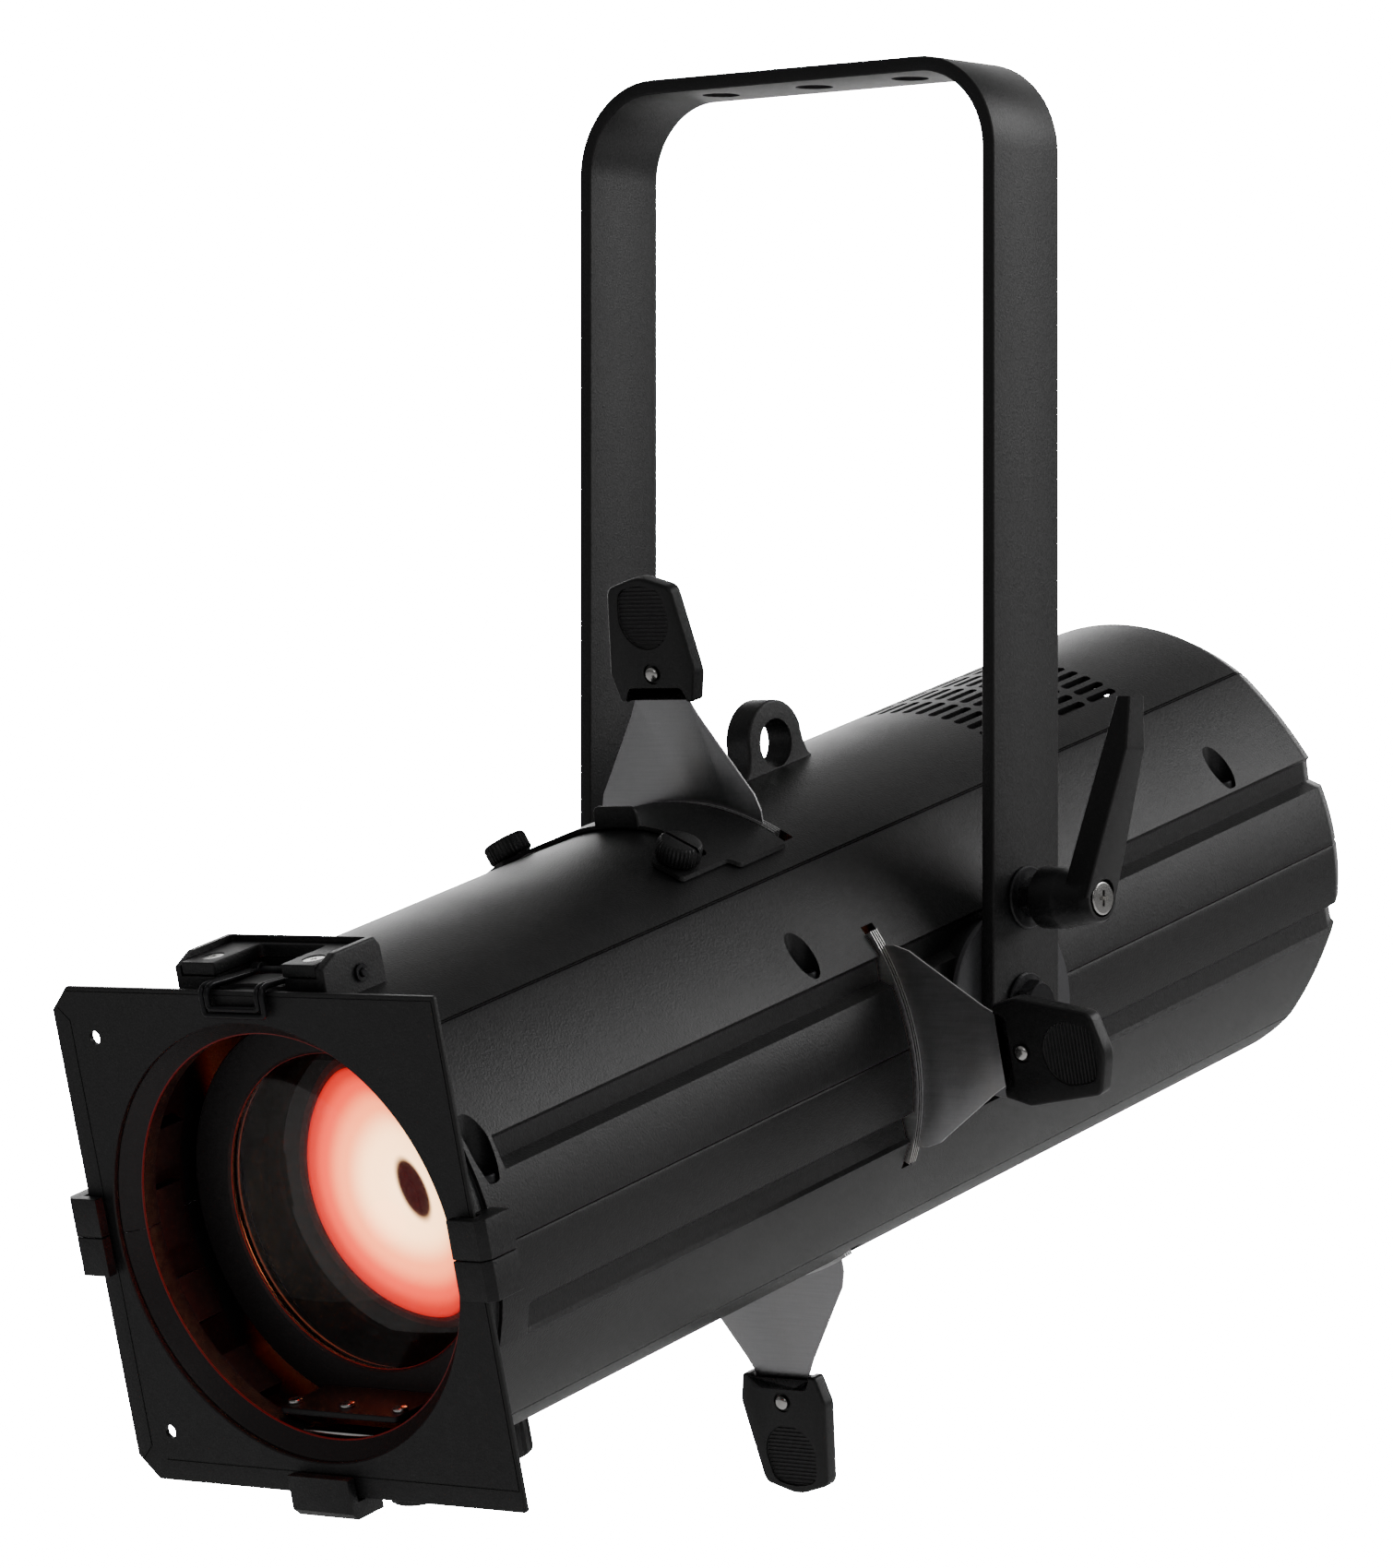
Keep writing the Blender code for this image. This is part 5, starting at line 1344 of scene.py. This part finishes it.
# %% [markdown]
# ## Lenses
# A lens is two spheres joined by a short edge. With radius R and sag s, the sphere has the radius (R^2 +
# s^2) / 2s. The front lens is clear glass. The rear one is lit: it takes its colour from the distance to
# the axis, cream in the middle and red towards the rim, as the light of the red and white emitters shows.

# %% Glass and holders
FRONT_LENS = {"b": -273.5, "radius": 62.0, "clear": 60.4, "sags": (9.0, 6.0), "edge": 4.0, "depth": 16.0}
REAR_LENS = {"b": -228.0, "radius": 54.0, "clear": 52.0, "sags": (14.0, 4.0), "edge": 4.0, "depth": 12.0}
HOLDER_R = 76.0


def lens_face(radius, sag, at, way, steps=40):
    r = radius * np.linspace(0, 1, steps + 1)
    sphere = (radius ** 2 + sag ** 2) / (2 * sag)
    return np.stack([r, at + way * (sag - (sphere - np.sqrt(sphere ** 2 - r ** 2)))], -1)


def lens(node, spec, paint):
    front, back = spec["sags"]
    profile = np.concatenate([lens_face(spec["radius"], back, spec["edge"], 1),
                              lens_face(spec["radius"], front, 0.0, -1)[::-1]])
    dress(spun(node + "_glass", profile, (0, spec["b"], 0), steps=160), paint, node)


def lens_holder(node, spec):
    """Cup round the glass: a cone in front, a groove that grips the rim, and a skirt behind."""
    clear, radius, depth = spec["clear"], spec["radius"], spec["depth"]
    front, back = spec["sags"]
    rim = 1 - (clear / radius) ** 2
    front_lip, back_lip = -front * rim - 0.6, spec["edge"] + back * rim + 0.6
    profile = [(HOLDER_R, depth), (HOLDER_R, -4.4), (HOLDER_R - 0.6, -5.0), (clear + 3.0, front_lip - 2.6),
               (clear + 0.9, front_lip - 2.2), (clear, front_lip - 1.2), (clear, front_lip),
               (radius + 0.3, front_lip),
               (radius + 0.3, back_lip), (clear, back_lip), (clear, back_lip + 2), (radius + 6, back_lip + 2),
               (radius + 6, depth)]
    piece = spun(node + "_cup", profile, (0, spec["b"], 0), steps=160, wrap=True)
    if node == "front_lens_holder":
        ledge = slab("ledge", smooth_corners([(-29, -303.5), (29, -303.5), (29, -274.5), (-29, -274.5)],
                                             [2, 2, 0, 0]),
                     -70.0, -67.5, 0.5)
        carve(piece, [ledge], "UNION")
    dress(piece, INNER_BLACK, node)


def lens_knob(node, b):
    """Grip with sixteen flutes: r = profile - 0.9 max(0, cos(16 a)) on the grip."""
    profile = np.array([(0, -72.5), (3.0, -72.5), (3.0, -98.3), (10.8, -98.3), (11.7, -98.8), (12.0, -99.8),
                        (12.0, -110.4), (11.5, -112.0), (10.2, -112.8), (7.5, -113.0), (7.0, -112.4),
                        (0, -112.4)])
    a = np.radians(np.arange(0, 360, 1.5))
    grip = (profile[:, 0] > 11.2)[:, None]
    r = profile[:, :1] - grip * 0.9 * np.maximum(0, np.cos(16 * a))
    grid = np.stack([r * np.cos(a), b + r * np.sin(a), np.broadcast_to(profile[:, 1:], r.shape)], -1)
    dress(surface(node + "_grip", grid), MOULDED, node)


lens("front_lens", FRONT_LENS, CLEAR_GLASS)
lens("rear_lens", REAR_LENS, GLOW_GLASS)
lens_holder("front_lens_holder", FRONT_LENS)
lens_holder("rear_lens_holder", REAR_LENS)
lens_knob("front_lens_knob", -268.0)
lens_knob("rear_lens_knob", -222.0)
print("front lens", FRONT_LENS["radius"] * 2, "mm across")

# %% [markdown]
# Thin rings at the inner rim of the barrel's mouth and at the rim of the glass carry a faint red emission: a
# painted red glow, for the red light of the lit lens on those rims. Three screw heads stand on the ledge under the
# lens.

# %% Red rim and ledge screws


def painted_glow_finish():
    # Painted red glow: a faint emission that stands for the red light on the rims.
    made, _, shader = new_finish("rim_painted_red_glow")
    shader.inputs["Base Color"].default_value = (0.2, 0.01, 0.01, 1.0)
    shader.inputs["Roughness"].default_value = 0.3
    shader.inputs["Emission Color"].default_value = (1.0, 0.03, 0.02, 1.0)
    shader.inputs["Emission Strength"].default_value = 0.025
    return made


RIM_GLOW_PAINTED = painted_glow_finish()


def thin_ring(name, radius, b, wire):
    """Closed round wire about the barrel's axis."""
    across, up = circle(radius, steps=160).T
    return tube(name, np.column_stack([across, np.full(len(up), b), up]), wire, (0, 1, 0), 8, closed=True)


# Thin rings that carry the painted red glow.
extra(thin_ring("mouth_rim_painted_glow", 77.1, -305.9, 0.45), RIM_GLOW_PAINTED, "lower_housing")
extra(thin_ring("glass_rim_painted_glow", 60.5, -275.7, 0.22), RIM_GLOW_PAINTED, "front_lens_holder")
ledge_screws = [cross_screw("ledge_screw", 2.9, -67.6, -65.9, on_barrel, (x, -297.5, 0), "u", dome=0.8)
                for x in (-26.0, 0.0, 26.0)]
extra(merged("ledge_screws", ledge_screws), PRESSED_STEEL, "front_lens_holder")


def red_lamp():
    """Dim red lamp in the mouth, for the light that the lit lens spills on the walls round it."""
    lamp = bpy.data.lights.new("red_spill", "POINT")
    lamp.color = (1.0, 0.03, 0.015)
    lamp.energy = RED_SPILL
    lamp.shadow_soft_size = 0.012
    made = bpy.data.objects.new("red_spill", lamp)
    made.location = on_barrel((14.0, -288.0, -4.0))
    made.visible_camera = False
    made.visible_transmission = False
    bpy.context.scene.collection.objects.link(made)
    return made


RED_SPILL = 0.05
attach(red_lamp(), "barrel")
print("ledge screws:", len(ledge_screws))

# %% [markdown]
# ## Light engine and fan
# Behind the gate sit the condenser lens, the board, the heat sink and the fan. They show only through the
# vents and the shutter slots, so the heat sink and the supply keep their CAD shape with a better finish.
# The rotor is new: each of its blades is a twisted sheet, with a pitch that eases from 46 degrees at the
# hub to 26 at the tip.

# %% Inside pieces


def repaint(node, paint):
    """A better finish on a CAD piece that keeps its shape."""
    mesh = frame["nodes"][node].data
    mesh.materials.clear()
    mesh.materials.append(paint)


def rotor_blade(turn):
    """Sheet 1.4 mm thick across r = 11..36.4: at radius r the chord is turned by the pitch of that radius."""
    r = np.linspace(11.0, 36.4, 12)[:, None]
    pitch = np.radians(np.interp(r, [11, 36.4], [46, 26]))
    loop = np.array([(-1, -0.25), (-0.92, 0.3), (-0.4, 1), (0.4, 1), (0.92, 0.3), (1, -0.25), (0.4, -0.2),
                     (-0.4, -0.2)])
    chord = (6.0 + 0.16 * (r - 11)) * loop[:, 0]
    lift = 0.7 * loop[:, 1] + 0 * r
    along = chord * np.cos(pitch) - lift * np.sin(pitch)
    b = chord * np.sin(pitch) * 0.9 + lift * np.cos(pitch) + 161.6
    c, s = math.cos(turn), math.sin(turn)
    grid = np.stack([r * c - along * s, b, r * s + along * c], -1)
    return surface("rotor_blade", grid)


hub = [(0, 155.5), (12.6, 155.5), (14.0, 156.8), (14.0, 167.8), (0, 167.8)]
dress(merged("rotor", [spun("hub", hub, steps=64)] + [rotor_blade(k * 2 * math.pi / 7) for k in range(7)]),
      MOULDED, "fan_rotor")
condenser = np.concatenate([lens_face(42.0, 6.0, 5.0, 1), lens_face(42.0, 14.0, 0.0, -1)[::-1]])
dress(spun("condenser", condenser, (0, 20, 0), steps=96), CLEAR_GLASS, "condenser_lens")
for node, paint in {"led_board": SOLDER_MASK, "heat_sink": PLAIN_ALUMINIUM, "fan_housing": MOULDED,
                    "power_supply": PLAIN_ALUMINIUM}.items():
    repaint(node, paint)
print("inside pieces done")

# %% [markdown]
# ## Back panel
# The panel is a plate with the inner outline of the casting, screwed on at six places and pierced for the
# display, buttons, sockets and air. Each socket is a rounded shell with a flange and a hollow mouth.

# %% Back panel
BUTTON_PLACES = [(14.0 + 14.0 * k, 38.0) for k in range(4)]
MAINS = {"power_inlet": (-34.0, -34.0), "power_outlet": (0.0, -34.0)}
DATA = {"data_input": (-18.0, 4.0), "data_output": (18.0, 4.0)}
PANEL_SCREWS = [(-70, 0), (70, 0), (-62, 40), (66, 40), (-56, -52), (56, -52)]


def rounded_box(x, u, half_x, half_u, radius):
    return smooth_corners([(x - half_x, u - half_u), (x + half_x, u - half_u), (x + half_x, u + half_u),
                           (x - half_x, u + half_u)], radius)


def back_panel():
    above = inner_line(both_sides(outer_side(1.0))) * 0.985
    piece = slab("back_plate", np.concatenate([above, above[::-1] * [1, -1]])[:-1], 225.0, 228.0, 0.4, "xu")
    tools = [slab("display_hole", rounded_box(-24, 38, 25.3, 11.3, 1.5), 200, 240, 0, "xu")]
    tools += [spun("button_hole", [(0, 200), (4.3, 200), (4.3, 240), (0, 240)], (x, 0, u), steps=40)
              for x, u in BUTTON_PLACES]
    tools += [slab("mains_hole", rounded_box(x, u, 13.3, 10.8, 2.0), 200, 240, 0, "xu")
              for x, u in MAINS.values()]
    tools += [spun("data_hole", [(0, 200), (9.8, 200), (9.8, 240), (0, 240)], (x, 0, u), steps=64)
              for x, u in DATA.values()]
    tools += [spun("fuse_hole", [(0, 200), (6.3, 200), (6.3, 240), (0, 240)], (34.0, 0, -34.0), steps=48)]
    tools += [slab("air_slot", rounded_box(0, 60.0 + 5 * k, 30 - 4 * k, 1.4, 1.35), 200, 240, 0, "xu")
              for k in range(4)]
    return carve(piece, tools)


def mains_socket(node, x, u, pins):
    flange = slab(f"{node}_flange", rounded_box(x, u, 15.0, 12.5, 3.0), 228.2, 230.3, 0.5, "xu")
    carve(flange, [slab("shell", rounded_box(x, u, 12.9, 10.4, 2.5), 212, 230.0, 0.3, "xu")], "UNION")
    carve(flange, [slab("mouth", rounded_box(x, u, 10.5, 8.0, 2.0), 216, 240, 0, "xu")])
    blades = [box("pin", (x + dx - 0.9, 215, u + du - 2.0), (x + dx + 0.9, pins, u + du + 2.0), 0.3)
              for dx, du in ((-5.0, -1.5), (0.0, 2.5), (5.0, -1.5))]
    dress(flange, MOULDED, node)
    extra(merged(f"{node}_pins", blades), PRESSED_STEEL, node)


def data_socket(node, x, u):
    profile = [(0, 213), (9.5, 213), (9.5, 228.3), (11.5, 228.3), (11.5, 229.8), (11.0, 230.3), (8.1, 230.3),
               (7.7, 229.9), (7.7, 217), (0, 217)]
    dress(spun(f"{node}_shell", profile, (x, 0, u), steps=80), BLACKENED, node)
    pins = []
    for k in range(5):
        angle = math.radians(90 + 72 * k)
        centre = (x + 4.0 * math.cos(angle), 0, u + 4.0 * math.sin(angle))
        pins.append(spun("pin", [(0, 216.5), (0.8, 216.5), (0.8, 224.6), (0.4, 225.4), (0, 225.5)], centre,
                         steps=16))
    extra(merged(f"{node}_pins", pins), PRESSED_STEEL, node)


dress(back_panel(), CAST_COAT, "rear_panel")
for node, (x, u) in MAINS.items():
    mains_socket(node, x, u, 226.0 if node == "power_inlet" else 219.0)
for node, (x, u) in DATA.items():
    data_socket(node, x, u)
fuse = [(0, 213), (6, 213), (6, 228.3), (8, 228.3), (8, 231.2), (7.4, 232.2), (5.4, 233), (0, 233)]
fuse_cap = spun("fuse_cap", fuse, (34.0, 0, -34.0), steps=64)
dress(carve(fuse_cap, [box("fuse_slot", (27.5, 231.6, -34.8), (40.5, 236, -33.2))]), MOULDED, "fuse_holder")
dress(slab("display_glass", rounded_box(-24, 38, 25, 11, 1.3), 223, 228.3, 0.3, "xu"), SCREEN_GLASS,
      "display_window")
for number, (x, u) in enumerate(BUTTON_PLACES, start=1):
    key = [(0, 222.6), (5.4, 222.6), (5.4, 224.7), (4, 224.7), (4, 229.2), (3.7, 229.8), (3.0, 230.0),
           (0, 229.8)]
    dress(spun(f"menu_key_{number}", key, (x, 0, u), steps=48), MOULDED, f"menu_button_{number}")
panel_screws = [cross_screw("panel_screw", 3.2, 227.9, 229.6, on_barrel, (x, 0, u), "b", dome=0.7)
                for x, u in PANEL_SCREWS]
extra(merged("panel_screws", panel_screws), BLACKENED, "rear_panel")
print("back panel sockets:", len(MAINS) + len(DATA))

# %% [markdown]
# ## Studio
# The object hangs over a plain pale floor, which fades to the white of the studio so that no horizon shows.
# The light is soft. Broad boxes behind, on the left and on the right, draw the bright line along the top of
# the barrel; a lower one on the right lights the yoke's side, and a weak one in front keeps the nose from
# going black, yet dark enough for the lit lens to tell.

# %% Floor and world
FLOOR_Z = -0.80
WHITE = 40.0


def pale_floor():
    made, tree, shader = new_finish("pale_floor")
    shader.inputs["Base Color"].default_value = (0.86, 0.86, 0.86, 1.0)
    shader.inputs["Roughness"].default_value = 0.9
    shader.inputs["Specular IOR Level"].default_value = 0.0
    glow = add_node(tree, "ShaderNodeEmission", in_Color=(1.0, 1.0, 1.0, 1.0), in_Strength=WHITE)
    place = tree.nodes.new("ShaderNodeTexCoord").outputs["Object"]
    away = add_node(tree, "ShaderNodeVectorMath", operation="LENGTH")
    tree.links.new(place, away.inputs[0])
    seen = tree.nodes.new("ShaderNodeLightPath").outputs["Is Camera Ray"]
    fade = maths(tree, "MULTIPLY", step_between(tree, away.outputs["Value"], 0.2, 0.9), seen)
    both = tree.nodes.new("ShaderNodeMixShader")
    tree.links.new(fade, both.inputs[0])
    tree.links.new(shader.outputs[0], both.inputs[1])
    tree.links.new(glow.outputs[0], both.inputs[2])
    tree.links.new(both.outputs[0], tree.nodes["Material Output"].inputs["Surface"])
    return made


def studio_floor():
    ring = np.radians(np.linspace(0, 360, 64, endpoint=False))
    rim = np.stack([12 * np.cos(ring), 12 * np.sin(ring), np.full(64, FLOOR_Z)], -1)
    floor = mesh_object("floor", rim, [np.arange(64)], tidy=False)
    floor.data.materials.append(pale_floor())


def studio_world():
    """White for the camera; for light and reflections, bright above and dim below and in front."""
    world = bpy.data.worlds.new("studio")
    bpy.context.scene.world = world
    world.use_nodes = True
    tree = world.node_tree
    shown = tree.nodes["Background"]
    shown.inputs["Color"].default_value = (1.0, 1.0, 1.0, 1.0)
    shown.inputs["Strength"].default_value = WHITE
    lit = tree.nodes.new("ShaderNodeBackground")
    direction = tree.nodes.new("ShaderNodeSeparateXYZ")
    tree.links.new(tree.nodes.new("ShaderNodeTexCoord").outputs["Generated"], direction.inputs[0])
    height = step_between(tree, direction.outputs["Z"], -0.2, 0.9)
    behind = maths(tree, "MULTIPLY", direction.outputs["X"], AWAY_FROM_CAMERA[0])
    behind = maths(tree, "MULTIPLY_ADD", direction.outputs["Y"], AWAY_FROM_CAMERA[1], behind)
    level = maths(tree, "MULTIPLY_ADD", height, WORLD_TOP, WORLD_BASE)
    level = maths(tree, "MULTIPLY_ADD", step_between(tree, behind, 0.55, 1.0), WORLD_BACK, level)
    tree.links.new(level, lit.inputs["Strength"])
    path = tree.nodes.new("ShaderNodeLightPath")
    both = tree.nodes.new("ShaderNodeMixShader")
    tree.links.new(path.outputs["Is Camera Ray"], both.inputs[0])
    tree.links.new(lit.outputs[0], both.inputs[1])
    tree.links.new(shown.outputs[0], both.inputs[2])
    tree.links.new(both.outputs[0], tree.nodes["World Output"].inputs["Surface"])


WORLD_BASE, WORLD_TOP, WORLD_BACK = 0.10, 0.12, 1.6
AWAY_FROM_CAMERA = (-0.64, 0.77)
studio_floor()
studio_world()
print("floor at", FLOOR_Z, "m")

# %% Lamps and camera


def soft_box(name, place, aim, size, power):
    """Rectangular area lamp that looks at a point."""
    lamp = bpy.data.lights.new(name, "AREA")
    lamp.shape = "RECTANGLE"
    lamp.size, lamp.size_y = size
    lamp.energy = power
    made = bpy.data.objects.new(name, lamp)
    made.location = place
    made.rotation_euler = (Vector(aim) - Vector(place)).to_track_quat("-Z", "Y").to_euler()
    bpy.context.scene.collection.objects.link(made)
    return made


MIDDLE = tuple(PIVOT)
soft_box("back_box", (-1.5, 1.6, 0.15), MIDDLE, (2.2, 0.8), 20)
soft_box("right_box", (1.3, 1.4, 0.95), MIDDLE, (1.1, 0.8), 13)
soft_box("side_box", (1.8, 1.9, 0.45), (0, 0, -0.1), (0.9, 0.9), 9)
soft_box("front_box", (1.4, -1.6, 0.9), MIDDLE, (1.2, 0.8), 3)

camera = bpy.data.objects.new("camera", bpy.data.cameras.new("camera"))
bpy.context.scene.collection.objects.link(camera)
camera.location = (1.63785, -2.02386, -0.28141)
camera.rotation_euler = (math.pi / 2, 0.0, 0.69828)
camera.data.lens = 151.12
camera.data.sensor_width = 36.0
bpy.context.scene.camera = camera
print("camera", tuple(round(c, 2) for c in camera.location))
